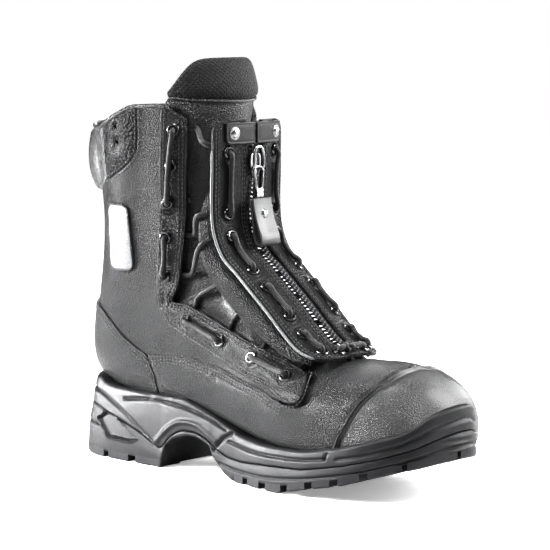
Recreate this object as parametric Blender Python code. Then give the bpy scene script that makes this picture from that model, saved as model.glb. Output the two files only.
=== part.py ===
"""Front-zip safety fire boot for a right foot, built from its separate pieces.

Lengths are in millimetres until a mesh is made. While modelling, X runs from the heel (0) to the
toe, +Y is the inner (medial) side, -Y the outer (lateral) side, and Z = 0 is the ground.
make() moves the origin to the middle of the boot's footprint.
"""
import math

import bmesh
import bpy
import numpy as np

MM = 0.001                      # metres in a millimetre
CENTRE_X, CENTRE_Y = 153.956, -0.736  # middle of the boot's bounding box

GAP = 0.4                       # clearance between neighbouring pieces
LEATHER = 2.0                   # thickness of the outer leather
STIFFENER = (-2.6, -4.3)        # toe cap, heel counter and collar foam, inwards from the skin
PLATE = (-2.4, -3.9)             # puncture-resistant plate
PLATE_RISE, FOOTBED_RISE = 2.5, 6.5  # how far they stand above the upper's lower edge
LINING = (-4.8, -5.9)
TONGUE = (-6.5, -8.8)
FOOTBED = -6.4                  # the footbed's underside
ROWS = 21                       # skin rows from the toe to the top
COLUMNS = 18                    # skin columns round a section
TOE_START = .35                 # where the skin's first row lies, in stations from the toe

LACE_RADIUS = 1.5
LACE_SIDES = 5
LACE_DEPTH = 4.5               # of its middle under a facing
BEND_INSIDE, BEND_OUTSIDE = 1.8, 2.4     # lace bend radii at a hole
EYELET_BORE, EYELET_BARREL, EYELET_FLANGE = 2.35, 3.0, 4.3
EYELET_HOLE = 3.4

# Sections through the boot, from the toe to the top. Each runs from the instep or shin line
# (Xd, Zd) to the sole or back line (Xp, Zp), with half widths on the outer and inner side, the
# height of its widest point as a share, the squareness of its lower and upper half, and the Y of
# its middle.
STATIONS = np.array([
    [311, 48, 311, 42, 1, 1, .50, 2.0, 2.0, 12],
    [308, 60, 309, 33, 22, 21, .45, 2.6, 2.0, 12],
    [300, 73, 301, 28, 37, 35, .42, 3.2, 2.1, 10],
    [284, 82, 285, 26, 46, 43, .38, 3.8, 2.2, 8],
    [260, 86, 262, 25, 51, 48, .36, 4.2, 2.2, 5],
    [228, 85, 230, 25, 52, 49, .34, 4.4, 2.2, 1],
    [199, 97, 199, 26, 49, 46, .32, 4.2, 2.1, 0],
    [172, 117, 160, 31, 43, 40, .34, 3.8, 2.1, 0],
    [152, 140, 114, 39, 38, 36, .36, 3.4, 2.1, 0],
    [140, 163, 50, 42, 38, 37, .42, 2.8, 2.1, 0],
    [135, 184, 3, 56, 39, 38, .46, 2.3, 2.1, 0],
    [132, 201, 1, 90, 41, 40, .48, 2.1, 2.1, 0],
    [130, 218, 11, 135, 45, 44, .50, 2.1, 2.1, 0],
    [129, 234, 14, 174, 48, 47, .50, 2.1, 2.1, 0],
    [128, 248, 10, 208, 50, 49, .50, 2.1, 2.1, 0],
    [127, 262, 5, 240, 52, 51, .50, 2.1, 2.1, 0],
    [122, 276, 2, 262, 52, 51, .50, 2.1, 2.1, 0],
    [117, 292, 0, 284, 52, 51, .50, 2.1, 2.1, 0],
], float)

# Seams and edges in side view (X, Z); both sides of the boot share them.
UPPER_EDGE = [(-30, 62), (5, 60), (20, 53), (54, 47), (110, 43), (160, 35), (200, 29.5),
              (230, 29), (262, 29), (285, 30), (300, 33), (311, 40), (330, 44)]
TOE_SEAM = [(252, 29), (258, 44), (264, 55), (269, 65), (274, 73), (278, 80), (280, 100)]
SEAM_JUNCTION = (75, 78)
HEEL_SEAM_LOW = [(81, 45), (81, 64), SEAM_JUNCTION]
HEEL_SEAM_HIGH = [(67, 81), (52, 89), (40, 98), (29, 106), (10, 112), (-30, 114)]
VAMP_SEAM = [(92, 81), (107, 81), (126, 79), (147, 76), (168, 71), (190, 66), (205, 61),
             (212, 60.6)]
FACING_TIP = [(220, 60), (228, 62), (231, 67)]
THROAT = [(234, 76), (235, 100)]
FACING_BACK = [(212, 60.6), (194, 68), (162, 76), (130, 86), (105, 96), (91, 105), (85, 124),
               (87, 160), (92, 188), (95, 223), (97, 251.7)]
FACING_EDGE = [(112, 243.5), (112, 223), (109, 188), (106, 160), (103, 129), (98, 118),
               (110, 117), (132, 109), (160, 99), (187, 90), (208, 83), (221, 78)]
COLLAR_PATCH_EDGE = [(79, 250.7), (78, 229), (75, 219), (65, 210), (51, 203), (39, 200)]
BACK_COLLAR_EDGE = [(39, 200), (25, 190), (10, 186), (-30, 184)]
RIM_FRONT = [(97, 251.7), (101, 251.6), (106, 248), (112, 243.5)]
RIM_BACK = [(40, 236), (58, 244), (73, 250)]
PATCH_OUTLINE = [(47, 183), (42, 176), (42, 144), (47, 137), (60, 137), (65, 144), (65, 176),
                 (60, 183)]

FACING_EYELETS = [(207, 76), (175, 85.5), (144, 94), (112, 105), (92, 135), (93, 162), (97, 186),
                  (102, 212), (104.5, 237)]

# Sole, in plan and in side view.
SOLE_OUTLINE = [(-4, 0), (4, -26), (26, -38), (88, -41), (125, -42), (165, -46), (205, -54),
                (245, -56), (280, -48), (305, -26), (316, 6), (314, 26), (298, 44), (262, 54),
                (215, 53), (170, 42), (120, 34), (80, 35), (26, 36), (4, 26)]
SOLE_TOP = [(-6, 58), (5, 57), (19, 56), (23, 53), (40, 51), (96, 51), (111, 51), (131, 45),
            (146, 40), (168, 32), (190, 30), (211, 30), (234, 31), (262, 36), (284, 42),
            (298, 46), (306, 51), (311, 58), (318, 64)]
SOLE_SPLIT = [(-6, 40), (13, 37), (40, 31), (67, 23), (84, 15.5), (91, 13.5), (98, 21.5),
              (103, 25), (111, 29), (126, 29), (136, 26), (146, 20), (157, 16), (173, 15),
              (198, 17), (234, 19), (266, 25), (290, 31), (306, 37), (312, 42), (318, 47)]
SOLE_BOTTOM = [(-6, 4), (0, 2), (8, .8), (23, 0), (90, 0), (91, 3), (93, 10), (96, 17), (103, 22),
               (116, 26), (126, 26), (139, 22), (142, 15), (154, 5), (165, 0), (210, 0),
               (241, 7), (262, 11), (279, 16), (294, 21), (306, 24), (314, 27), (318, 29)]
TREAD_GROOVES = [(34.5, 5), (61.5, 7), (177, 5), (196, 7), (218, 6), (240, 6), (260, 6),
                 (280, 5)]                                       # centre X and width
TREAD_DEPTH, RILL_DEPTH, RILL_HALF_WIDTH = 5.0, 3.0, 3.0

# Zip panel: its middle line in side view, from the top to the tip.
PANEL_LINE = np.array([(142, 244), (142, 228), (142, 208), (141.5, 188), (143, 170), (150, 155),
                       (162, 145), (176, 133), (190, 121), (203, 109), (215, 99), (227, 93)],
                      float)
PANEL_HALF_WIDTH = {-1: 37.0, 1: 34.0}
PANEL_DROP = {-1: 4.0, 1: 6.0}  # how far the edges fall behind the middle
TAPE_EDGE, STRIP_EDGE, TEETH_HALF_WIDTH = 2.8, 8.0, 2.3
STRAP_TOP, STRAP_BOTTOM = 1.5, 16.5     # distance down the panel from its top
SLIDER_DOWN = 31.0
PANEL_EYELET_ROW, PANEL_HOLE = 24.0, 2.6
PANEL_EYELETS = [22, 64, 79, 108, 124, 152, 168, 188]
TIP_EYELET_UP, TIP_EYELET_ROW = 7.0, 12.8   # two more, above the tip and either side of its middle

LEATHER_BLACK = ((.022, .022, .023), .42, 0)
RUBBER_GREY = ((.035, .035, .037), .7, 0)
TEXTILE = ((.02, .02, .021), .9, 0)
STEEL = ((.62, .62, .63), .25, 1)
DARK_METAL = ((.08, .08, .085), .35, 1)
REFLECTIVE = ((.62, .63, .63), .35, 0)
FOAM = ((.10, .10, .11), .95, 0)
COMPOSITE = ((.75, .72, .6), .6, 0)


# ---------------------------------------------------------------- curves and surfaces

def catmull(table, t):
    """Uniform Catmull-Rom curve through the rows of a table; t runs from 0 to len - 1."""
    table = np.asarray(table, float)
    t = np.clip(np.asarray(t, float), 0, len(table) - 1 - 1e-9)
    i = np.floor(t).astype(int)
    f = (t - i)[..., None]
    a, b, c, d = (table[np.clip(i + k, 0, len(table) - 1)] for k in (-1, 0, 1, 2))
    return .5 * (2 * b + (c - a) * f + (2 * a - 5 * b + 4 * c - d) * f ** 2
                 + (3 * b - a - 3 * c + d) * f ** 3)


def skin_point(t, phi):
    """Point on the outside of the leather. phi is 0 at the sole or back and pi at the instep."""
    xd, zd, xp, zp, wl, wm, h, nl, nu, yc = np.moveaxis(catmull(STATIONS, t), -1, 0)
    phi = np.mod(phi + math.pi, 2 * math.pi) - math.pi
    a = np.abs(phi)
    low = a < math.pi / 2
    n = np.where(low, nl, nu)
    width = np.where(phi < 0, wl, wm) * np.abs(np.sin(a)) ** (2 / n)
    c = np.abs(np.cos(a)) ** (2 / n)
    v = np.where(low, h * (1 - c), h + (1 - h) * c)
    return np.stack([xp + (xd - xp) * v, yc + np.sign(phi) * width, zp + (zd - zp) * v], -1)


def skin_grid(offset=0.0):
    """Rows from toe to top and columns round the boot, moved out along the normals by offset."""
    t = np.linspace(TOE_START, len(STATIONS) - 1, ROWS)[:, None]
    phi = np.linspace(-math.pi, math.pi, COLUMNS + 1)[None, :-1]
    base = skin_point(t, phi)
    normal = skin_normal(t, phi)
    if callable(offset):
        offset = offset(base)[..., None]
    return base + normal * offset


def skin_normal(t, phi, e=.02):
    """Unit normal pointing out of the boot."""
    dt = skin_point(t + e, phi) - skin_point(t - e, phi)
    dp = skin_point(t, phi + e) - skin_point(t, phi - e)
    n = np.cross(dt, dp)
    n /= np.linalg.norm(n, axis=-1, keepdims=True) + 1e-12
    return n


def side_point(x, z, side, offset=0.0):
    """Point and normal of the skin at (x, z) in side view, on side -1 (outer) or +1 (inner)."""
    t, phi = np.meshgrid(np.linspace(0, len(STATIONS) - 1.01, 120),
                         side * np.linspace(.15, 3.0, 60), indexing="ij")
    p = skin_point(t, phi)
    i = np.argmin((p[..., 0] - x) ** 2 + (p[..., 2] - z) ** 2)
    q = np.array([t.ravel()[i], phi.ravel()[i]])
    for _ in range(8):
        f = skin_point(q[0], q[1])[[0, 2]] - (x, z)
        jac = np.array([(skin_point(q[0] + d[0], q[1] + d[1])[[0, 2]] - (x, z) - f) / 1e-3
                        for d in ((1e-3, 0), (0, 1e-3))]).T
        q = q - np.linalg.lstsq(jac, f, rcond=None)[0]
    normal = skin_normal(q[0], q[1])
    return skin_point(q[0], q[1]) + normal * offset, normal


def panel_frame(s):
    """Middle point and outward normal of the zip panel, s millimetres down from its top."""
    u = np.linspace(0, len(PANEL_LINE) - 1, 600)
    line = catmull(PANEL_LINE, u)
    run = np.concatenate([[0], np.cumsum(np.hypot(*np.diff(line, axis=0).T))])
    here = np.array([np.interp(s, run, line[:, k]) for k in (0, 1)])
    ahead = np.array([np.interp(np.asarray(s) + 1, run, line[:, k]) for k in (0, 1)])
    behind = np.array([np.interp(np.asarray(s) - 1, run, line[:, k]) for k in (0, 1)])
    tx, tz = ahead - behind
    size = np.hypot(tx, tz)
    return here, np.array([-tz, tx]) / size


def panel_length():
    line = catmull(PANEL_LINE, np.linspace(0, len(PANEL_LINE) - 1, 600))
    return float(np.hypot(*np.diff(line, axis=0).T).sum())


def panel_point(s, v, h):
    """Point of the zip panel: s down its length, v across it, h out from its face."""
    s, v, h = np.broadcast_arrays(np.asarray(s, float), v, h)
    (x, z), (nx, nz) = panel_frame(s)
    side = np.where(v < 0, -1, 1)
    drop = np.where(side < 0, PANEL_DROP[-1], PANEL_DROP[1])
    reach = np.where(side < 0, PANEL_HALF_WIDTH[-1], PANEL_HALF_WIDTH[1])
    rise = h - drop * (v / reach) ** 2
    return np.stack([x + nx * rise, v, z + nz * rise], -1)


# ---------------------------------------------------------------- meshes

def material(name, look):
    colour, roughness, metallic = look
    mat = bpy.data.materials.new(name)
    mat.use_nodes = True
    shader = mat.node_tree.nodes["Principled BSDF"]
    shader.inputs["Base Color"].default_value = (*colour, 1)
    shader.inputs["Roughness"].default_value = roughness
    shader.inputs["Metallic"].default_value = metallic
    return mat


def make(name, points, faces, look=None):
    """Closed mesh object from points in millimetres, with its faces turned outwards."""
    mesh = bpy.data.meshes.new(name)
    shift = np.array([CENTRE_X, CENTRE_Y, 0])
    mesh.from_pydata(((np.asarray(points, float).reshape(-1, 3) - shift) * MM).tolist(), [], faces)
    obj = bpy.data.objects.new(name, mesh)
    bpy.context.scene.collection.objects.link(obj)
    tidy(obj)
    if look:
        mesh.materials.append(material(name, look))
    return obj


def tidy(obj):
    """Join doubled points, turn the faces outwards and shade smooth except at sharp edges."""
    bm = bmesh.new()
    bm.from_mesh(obj.data)
    bmesh.ops.remove_doubles(bm, verts=bm.verts, dist=2e-6)
    bmesh.ops.dissolve_degenerate(bm, edges=bm.edges, dist=2e-6)
    bmesh.ops.recalc_face_normals(bm, faces=bm.faces)
    bm.to_mesh(obj.data)
    bm.free()
    obj.data.shade_smooth()
    obj.data.set_sharp_from_angle(angle=math.radians(40))


def ring_faces(rows, columns, first=0):
    """Triangles between rings of points, each ring closed on itself. Every layer of the boot is
    split along the same diagonals, so that the layers stay parallel."""
    faces = []
    for r in range(rows - 1):
        for c in range(columns):
            d = (c + 1) % columns
            a, b = first + r * columns, first + (r + 1) * columns
            faces += [(a + c, a + d, b + d), (a + c, b + d, b + c)]
    return faces


def loft(name, rings, look=None):
    """Closed solid through rings of points, with a flat cap at each end."""
    rows, columns = rings.shape[:2]
    faces = ring_faces(rows, columns)
    faces.append(tuple(range(columns)))
    faces.append(tuple(range((rows - 1) * columns, rows * columns)))
    return make(name, rings, faces, look)


def skin_shell(name, outer, inner, look=None):
    """Layer between two offsets of the skin, closed at the toe and along its top edge."""
    grids = [skin_grid(outer), skin_grid(inner)]
    rows, columns = grids[0].shape[:2]
    count = rows * columns
    points = np.concatenate([g.reshape(-1, 3) for g in grids])
    faces = ring_faces(rows, columns) + ring_faces(rows, columns, count)
    faces += [tuple(range(columns)), tuple(range(count, count + columns))]
    top = (rows - 1) * columns
    for c in range(columns):
        d = (c + 1) % columns
        faces.append((top + c, top + d, count + top + d, count + top + c))
    return make(name, points, faces, look)


def skin_solid(name, offset, look=None):
    return loft(name, skin_grid(offset), look)


def patch(name, point, us, vs, low, high, look=None):
    """Curved plate over a grid of u and v, between two heights of a surface function."""
    u, v = np.meshgrid(us, vs, indexing="ij")
    grids = [point(u, v, low), point(u, v, high)]
    rows, columns = u.shape
    count = rows * columns
    faces = []
    for r in range(rows - 1):
        for c in range(columns - 1):
            a = r * columns + c
            quad = (a, a + 1, a + columns + 1, a + columns)
            faces.append(quad)
            faces.append(tuple(k + count for k in reversed(quad)))
    border = [c for c in range(columns)]
    border += [r * columns + columns - 1 for r in range(1, rows)]
    border += [(rows - 1) * columns + c for c in range(columns - 2, -1, -1)]
    border += [r * columns for r in range(rows - 2, 0, -1)]
    for a, b in zip(border, border[1:] + border[:1]):
        faces.append((a, b, b + count, a + count))
    return make(name, np.concatenate([g.reshape(-1, 3) for g in grids]), faces, look)


def inset(outline, gap):
    """Move every side of a closed outline inwards by gap."""
    p = np.array(outline, float)
    nxt = np.roll(p, -1, 0)
    if np.sum(p[:, 0] * nxt[:, 1] - nxt[:, 0] * p[:, 1]) < 0:
        p = p[::-1]
    along = np.roll(p, -1, 0) - p
    along /= np.linalg.norm(along, axis=1)[:, None]
    out_side = np.stack([-along[:, 1], along[:, 0]], 1)
    in_side = np.roll(out_side, 1, 0)
    mitre = (in_side + out_side) / (1 + np.sum(in_side * out_side, 1))[:, None]
    return p + gap * mitre


def prism(outline, low, high, axis=1, gap=GAP / 2):
    """Cutter: an outline in side view (axis 1) or front view (axis 0), pulled out along the axis."""
    p = inset(outline, gap)
    rings = []
    for depth in (low, high):
        rings.append([(a, depth, b) if axis == 1 else (depth, a, b) for a, b in p])
    return loft("cutter", np.array(rings, float))


def tube(name, points, radius, look, sides=8, closed=False):
    """Round bar along a line of points."""
    p = np.asarray(points, float)
    n = len(p)
    if closed:
        tangent = np.roll(p, -1, 0) - np.roll(p, 1, 0)
    else:
        tangent = np.gradient(p, axis=0)
    tangent /= np.linalg.norm(tangent, axis=1)[:, None]
    side = np.cross(tangent[0], (0, 0, 1) if abs(tangent[0][2]) < .9 else (1, 0, 0))
    rings = []
    for k in range(n):
        side = side - tangent[k] * np.dot(side, tangent[k])
        side /= np.linalg.norm(side)
        up = np.cross(tangent[k], side)
        a = np.arange(sides) * 2 * math.pi / sides
        rings.append(p[k] + radius * (np.cos(a)[:, None] * side + np.sin(a)[:, None] * up))
    rings = np.array(rings)
    if not closed:
        return loft(name, rings, look)
    faces = ring_faces(n, sides)
    last = (n - 1) * sides
    shift = int(np.argmin(np.linalg.norm(rings[0] - rings[-1][0], axis=1)))
    for c in range(sides):
        d = (c + 1) % sides
        faces.append((last + c, last + d, (d + shift) % sides, (c + shift) % sides))
    return make(name, rings, faces, look)


def turned(name, profile, centre, axis, look=None, sides=12):
    """Solid turned about an axis from (radius, height) pairs; the profile may be a ring."""
    axis = np.asarray(axis, float) / np.linalg.norm(axis)
    side = np.cross(axis, (0, 0, 1) if abs(axis[2]) < .9 else (1, 0, 0))
    side /= np.linalg.norm(side)
    up = np.cross(axis, side)
    a = np.arange(sides) * 2 * math.pi / sides
    spokes = np.cos(a)[:, None] * side + np.sin(a)[:, None] * up
    rings = np.array([np.asarray(centre) + r * spokes + h * axis for r, h in profile])
    if profile[0][0] > 0 and profile[0] == profile[-1]:
        return make(name, rings, ring_faces(len(profile), sides), look)
    return loft(name, rings, look)


def boolean(obj, cutter, operation):
    """Cut, keep or join with a helper solid, which is then deleted."""
    look = list(obj.data.materials)
    mod = obj.modifiers.new(operation, "BOOLEAN")
    mod.operation, mod.object, mod.solver = operation, cutter, "EXACT"
    graph = bpy.context.evaluated_depsgraph_get()
    mesh = bpy.data.meshes.new_from_object(obj.evaluated_get(graph))
    obj.modifiers.clear()
    obj.data = mesh
    bpy.data.objects.remove(cutter)
    tidy(obj)
    mesh.materials.clear()
    for mat in look:
        mesh.materials.append(mat)
    return obj


def keep(obj, *cutters):
    for cutter in cutters:
        boolean(obj, cutter, "INTERSECT")
    return obj


def cut(obj, *cutters):
    for cutter in cutters:
        boolean(obj, cutter, "DIFFERENCE")
    return obj


# ---------------------------------------------------------------- sole

def sole_sides():
    """Outer and inner edge of the sole as functions of X."""
    ring = np.array(SOLE_OUTLINE, float)
    count = len(ring)
    dense = catmull(np.concatenate([ring[-2:], ring, ring[:3]]), np.linspace(2, count + 2, 800))
    heel, toe = np.argmin(dense[:, 0]), np.argmax(dense[:, 0])
    dense = np.roll(dense[:-1], -heel, 0)
    toe = np.argmax(dense[:, 0])
    outer, inner = dense[:toe + 1], np.concatenate([dense[toe:], dense[:1]])[::-1]
    return outer, inner


SOLE_OUTER, SOLE_INNER = sole_sides()
HEEL_END, TOE_END = float(SOLE_OUTER[0, 0]), float(SOLE_OUTER[-1, 0])


def sole_stations(*tables, extra=()):
    """X positions for a sole block: round ends, and every corner of its side-view lines."""
    ends = [HEEL_END + d for d in (.4, 2, 5, 10, 16)] + [TOE_END - d for d in (.4, 1.5, 4, 8, 14)]
    middle = list(np.arange(40, 300, 24))
    corners = [x for table in tables for x, _ in table]
    xs = sorted(x for x in ends + middle + corners + list(extra) if HEEL_END < x < TOE_END)
    kept = [xs[0]]
    for x in xs[1:]:
        if x - kept[-1] > .3:
            kept.append(x)
    return kept


def height(table, x):
    return float(np.interp(x, [p[0] for p in table], [p[1] for p in table]))


def sole_width(x, inset_by, least=4.6):
    """Outer and inner Y of the sole's wall at X, moved in from its outline."""
    low = float(np.interp(x, SOLE_OUTER[:, 0], SOLE_OUTER[:, 1]))
    high = float(np.interp(x, SOLE_INNER[:, 0], SOLE_INNER[:, 1]))
    middle = (low + high) / 2
    half = max((high - low) / 2 - inset_by, least)
    return middle - half, middle, middle + half


def tread_lift(x):
    """How far the tread is cut up at X by a cross groove."""
    for centre, width in TREAD_GROOVES:
        if abs(x - centre) < width / 2:
            return TREAD_DEPTH
    return 0.0


def outsole():
    edges = [c + s * (w / 2 + d) for c, w in TREAD_GROOVES for s in (-1, 1) for d in (-.3, .3)]
    rings = []
    for x in sole_stations(SOLE_SPLIT, SOLE_BOTTOM, extra=edges):
        low, middle, high = sole_width(x, 0)
        bottom = height(SOLE_BOTTOM, x) + tread_lift(x)
        top = height(SOLE_SPLIT, x)
        flat = 20 < x < 89 or 164 < x < 290
        rill = bottom + (RILL_DEPTH if flat and not tread_lift(x) else 0)
        side = min(bottom + 2.5, top - .5)
        a, b = RILL_HALF_WIDTH + .6, RILL_HALF_WIDTH
        rings.append([(x, low + .8, top), (x, low, side), (x, low + 1.6, bottom),
                      (x, middle - a, bottom), (x, middle - b, rill), (x, middle + b, rill),
                      (x, middle + a, bottom), (x, high - 1.6, bottom), (x, high, side),
                      (x, high - .8, top)])
    return cut(loft("outsole", np.array(rings), RUBBER_GREY), skin_solid("cutter", GAP))


def midsole():
    rings = []
    for x in sole_stations(SOLE_SPLIT, SOLE_TOP):
        low, middle, high = sole_width(x, 0)
        bottom, top = height(SOLE_SPLIT, x) + GAP, height(SOLE_TOP, x)
        waist = bottom + .55 * (top - bottom)
        rings.append([(x, low + .8, bottom), (x, low + .6, waist), (x, low + 2.2, top),
                      (x, middle, top), (x, high - 2.2, top), (x, high - .6, waist),
                      (x, high - .8, bottom)])
    return cut(loft("midsole", np.array(rings), RUBBER_GREY), skin_solid("cutter", GAP))


def edge_line(start, end, lift=0.0):
    """The upper's lower edge in side view from one X to another, in that order, raised by lift."""
    low, high = min(start, end), max(start, end)
    points = [(low, height(UPPER_EDGE, low))]
    points += [p for p in UPPER_EDGE if low < p[0] < high]
    points.append((high, height(UPPER_EDGE, high)))
    if start > end:
        points.reverse()
    return [(x, z + lift) for x, z in points]


def foot_layers():
    under = [(330, 0), (-30, 0)]
    keep(skin_shell("insole_board", 0, -LEATHER, TEXTILE),
         prism(edge_line(-30, 330) + under, -90, 90))
    keep(skin_shell("puncture_plate", *PLATE, COMPOSITE),
         prism(edge_line(-30, 330, PLATE_RISE) + under, -90, 90))
    keep(skin_solid("footbed", FOOTBED, TEXTILE),
         prism(edge_line(24, 294, FOOTBED_RISE) + [(294, 5), (24, 5)], -90, 90))


# ---------------------------------------------------------------- upper

def front_opening():
    """The tongue opening between the two facings, in side view."""
    return FACING_BACK + [(97, 330), (200, 330), (260, 110), (235, 100), (234, 76), (231, 67),
                          (228, 62), (220, 60)]


def leather_shell(name, look=LEATHER_BLACK):
    return skin_shell(name, 0, -LEATHER, look)


def upper_leathers():
    toe = TOE_SEAM + [(330, 100)] + edge_line(330, 252)[:-1]
    keep(leather_shell("toe_overlay"), prism(toe, -90, 90))
    vamp = HEEL_SEAM_LOW + VAMP_SEAM + FACING_TIP + THROAT + TOE_SEAM[::-1]
    vamp += edge_line(252, 81)[1:-1]
    keep(leather_shell("vamp"), prism(vamp, -90, 90))
    heel = HEEL_SEAM_LOW + HEEL_SEAM_HIGH + edge_line(-30, 81)[:-1]
    keep(leather_shell("heel_overlay"), prism(heel, -90, 90))
    quarter = [SEAM_JUNCTION] + VAMP_SEAM + FACING_BACK[1:] + COLLAR_PATCH_EDGE
    quarter += BACK_COLLAR_EDGE[1:] + HEEL_SEAM_HIGH[::-1]
    facing = FACING_BACK + RIM_FRONT[1:] + FACING_EDGE[1:] + FACING_TIP[::-1]
    collar = COLLAR_PATCH_EDGE + RIM_BACK
    for side, word in ((-1, "lateral"), (1, "medial")):
        keep(leather_shell("quarter_" + word), prism(quarter, *half(side)))
        piece = keep(leather_shell("facing_" + word), prism(facing, *half(side)))
        cut(piece, *[eyelet_cutter(*side_point(x, z, side)) for x, z in FACING_EYELETS])
        keep(leather_shell("collar_patch_" + word), prism(collar, *half(side)))
        keep(skin_shell("reflective_patch_" + word, 1.2, .4, REFLECTIVE),
             prism(PATCH_OUTLINE, *half(side)))


def half(side):
    """Y range of one side of the boot, clear of its middle."""
    return sorted((side * .2, side * 90))


def collar_bulge(points):
    """Outward swell of the padded roll at the back of the collar."""
    x, y, z = np.moveaxis(points, -1, 0)
    up = np.clip((z - 186) / (237 - 186), 0, 1)
    level = np.sin(math.pi * up ** .8) ** .7 * 17 + 6 * up
    across = np.clip(1 - (np.abs(y) / 33) ** 2.2, 0, 1)
    return np.where(x < 60, level * across, 0)


def collar():
    back = BACK_COLLAR_EDGE + [(-30, 238), (10, 236), (30, 234), (40, 236)]
    keep(skin_shell("back_collar", collar_bulge, -LEATHER, LEATHER_BLACK), prism(back, -90, 90))
    foam = [(-30, 190), (10, 192), (90, 206), (90, 246), (73, 246), (58, 240), (40, 232),
            (10, 231), (-30, 233)]
    keep(skin_shell("collar_foam", *STIFFENER, FOAM), prism(foam, -90, 90))
    tube("collar_binding", rim_line(), 1.5, LEATHER_BLACK, sides=6)


def rim_line():
    """Route of the rolled binding on top of the collar, from one facing round the back."""
    rim = [(-30, 238), (10, 236), (30, 234)] + RIM_BACK + [(79, 250.7)] + RIM_FRONT
    xs, zs = np.array(rim).T
    points = []
    for phi in np.linspace(-2.18, 2.18, 37):
        t = np.linspace(13, 16, 300)
        p = skin_point(t, np.full_like(t, phi))
        k = int(np.argmin(np.abs(p[:, 2] - 2.3 - np.interp(p[:, 0], xs, zs))))
        points.append(p[k] - skin_normal(t[k], phi) * .9)
    return points


def inner_layers():
    over_plate = PLATE_RISE + 1
    cap = [(262, 100), (330, 100)] + edge_line(330, 262, over_plate)
    keep(skin_shell("toe_cap", *STIFFENER, COMPOSITE), prism(cap, -90, 90))
    counter = edge_line(-30, 70, over_plate) + [(70, 66), (40, 84), (20, 95), (-30, 96)]
    keep(skin_shell("heel_counter", *STIFFENER, COMPOSITE), prism(counter, -90, 90))
    top = [(-30, -20), (340, -20), (340, 240), (112, 240), (100, 248), (73, 247), (58, 241),
           (40, 233), (10, 232), (-30, 234)]
    lining = skin_shell("lining", *LINING, TEXTILE)
    keep(lining, prism(top, -90, 90))
    cut(lining, prism(front_opening(), -90, 90, gap=-GAP))


def tongue():
    leather = [(246, 58)] + FACING_BACK + [(97, 261), (160, 261.7), (246, 261.7)]
    keep(skin_shell("tongue", *TONGUE, LEATHER_BLACK), prism(leather, -90, 90))
    pad = skin_shell("tongue_pad", -5.4, -9.6, TEXTILE)
    front = [(-41, 262), (41, 262), (40, 274), (35, 283), (28, 286), (-28, 286), (-36, 283),
             (-40, 274)]
    keep(pad, prism(front, 84, 200, axis=0))


# ---------------------------------------------------------------- eyelets and laces

def eyelet_cutter(centre, normal, radius=EYELET_HOLE):
    return turned("cutter", [(radius, -6), (radius, 3)], centre, normal, sides=8)


def eyelet(name, centre, normal):
    """Flanged tube; the flange lies on the leather and the barrel reaches through it."""
    profile = [(EYELET_BORE, 1.0), (EYELET_FLANGE, .95), (EYELET_FLANGE, .45),
               (EYELET_BARREL, .45), (EYELET_BARREL, -2.4), (EYELET_BORE, -2.4),
               (EYELET_BORE, 1.0)]
    turned(name, profile, centre, normal, DARK_METAL, sides=8)


def eyelets():
    for side, word in ((-1, "lateral"), (1, "medial")):
        for number, (x, z) in enumerate(FACING_EYELETS, 1):
            eyelet(f"eyelet_{word}_{number}", *side_point(x, z, side))


def unit(vector):
    return vector / np.linalg.norm(vector)


def hole_pass(hole, inner, outer, depth):
    """The lace through a hole, from inside to outside, bending towards an inner and an outer
    point. depth is where the inner bend starts."""
    centre, normal = hole
    towards = [unit(p - centre - normal * np.dot(p - centre, normal)) for p in (inner, outer)]
    points = []
    for degrees in (90, 45, 0):
        a = math.radians(degrees)
        points.append(centre - normal * (depth + BEND_INSIDE * math.sin(a))
                      + towards[0] * BEND_INSIDE * (1 - math.cos(a)))
    for degrees in (0, 45, 90):
        a = math.radians(degrees)
        points.append(centre + normal * (1 + BEND_OUTSIDE * math.sin(a))
                      + towards[1] * BEND_OUTSIDE * (1 - math.cos(a)))
    return points


def under_facing(number, side):
    """The lace under a facing, from its eyelet to just past the free edge."""
    x, z = FACING_EYELETS[number]
    dx, dz = (.3, .95) if number < 4 else (1, .1)
    reach = {0: (3.5, 6.5, 9, 10.8), 7: (6, 12), 8: (6, 12)}.get(number, (7, 13, 18))
    return [side_point(x + dx * d, z + dz * d, side, -LACE_DEPTH)[0] for d in reach]


def facing_run(numbers, side):
    """The lace on the outside of a facing, between its first and last eyelet."""
    (x0, z0), (x1, z1) = FACING_EYELETS[numbers[0]], FACING_EYELETS[numbers[-1]]
    shares = (.3, .7) if len(numbers) == 2 else (.15, .38, .62, .85)
    return [side_point(x0 + (x1 - x0) * f, z0 + (z1 - z0) * f, side, 3.0)[0] for f in shares]


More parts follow.
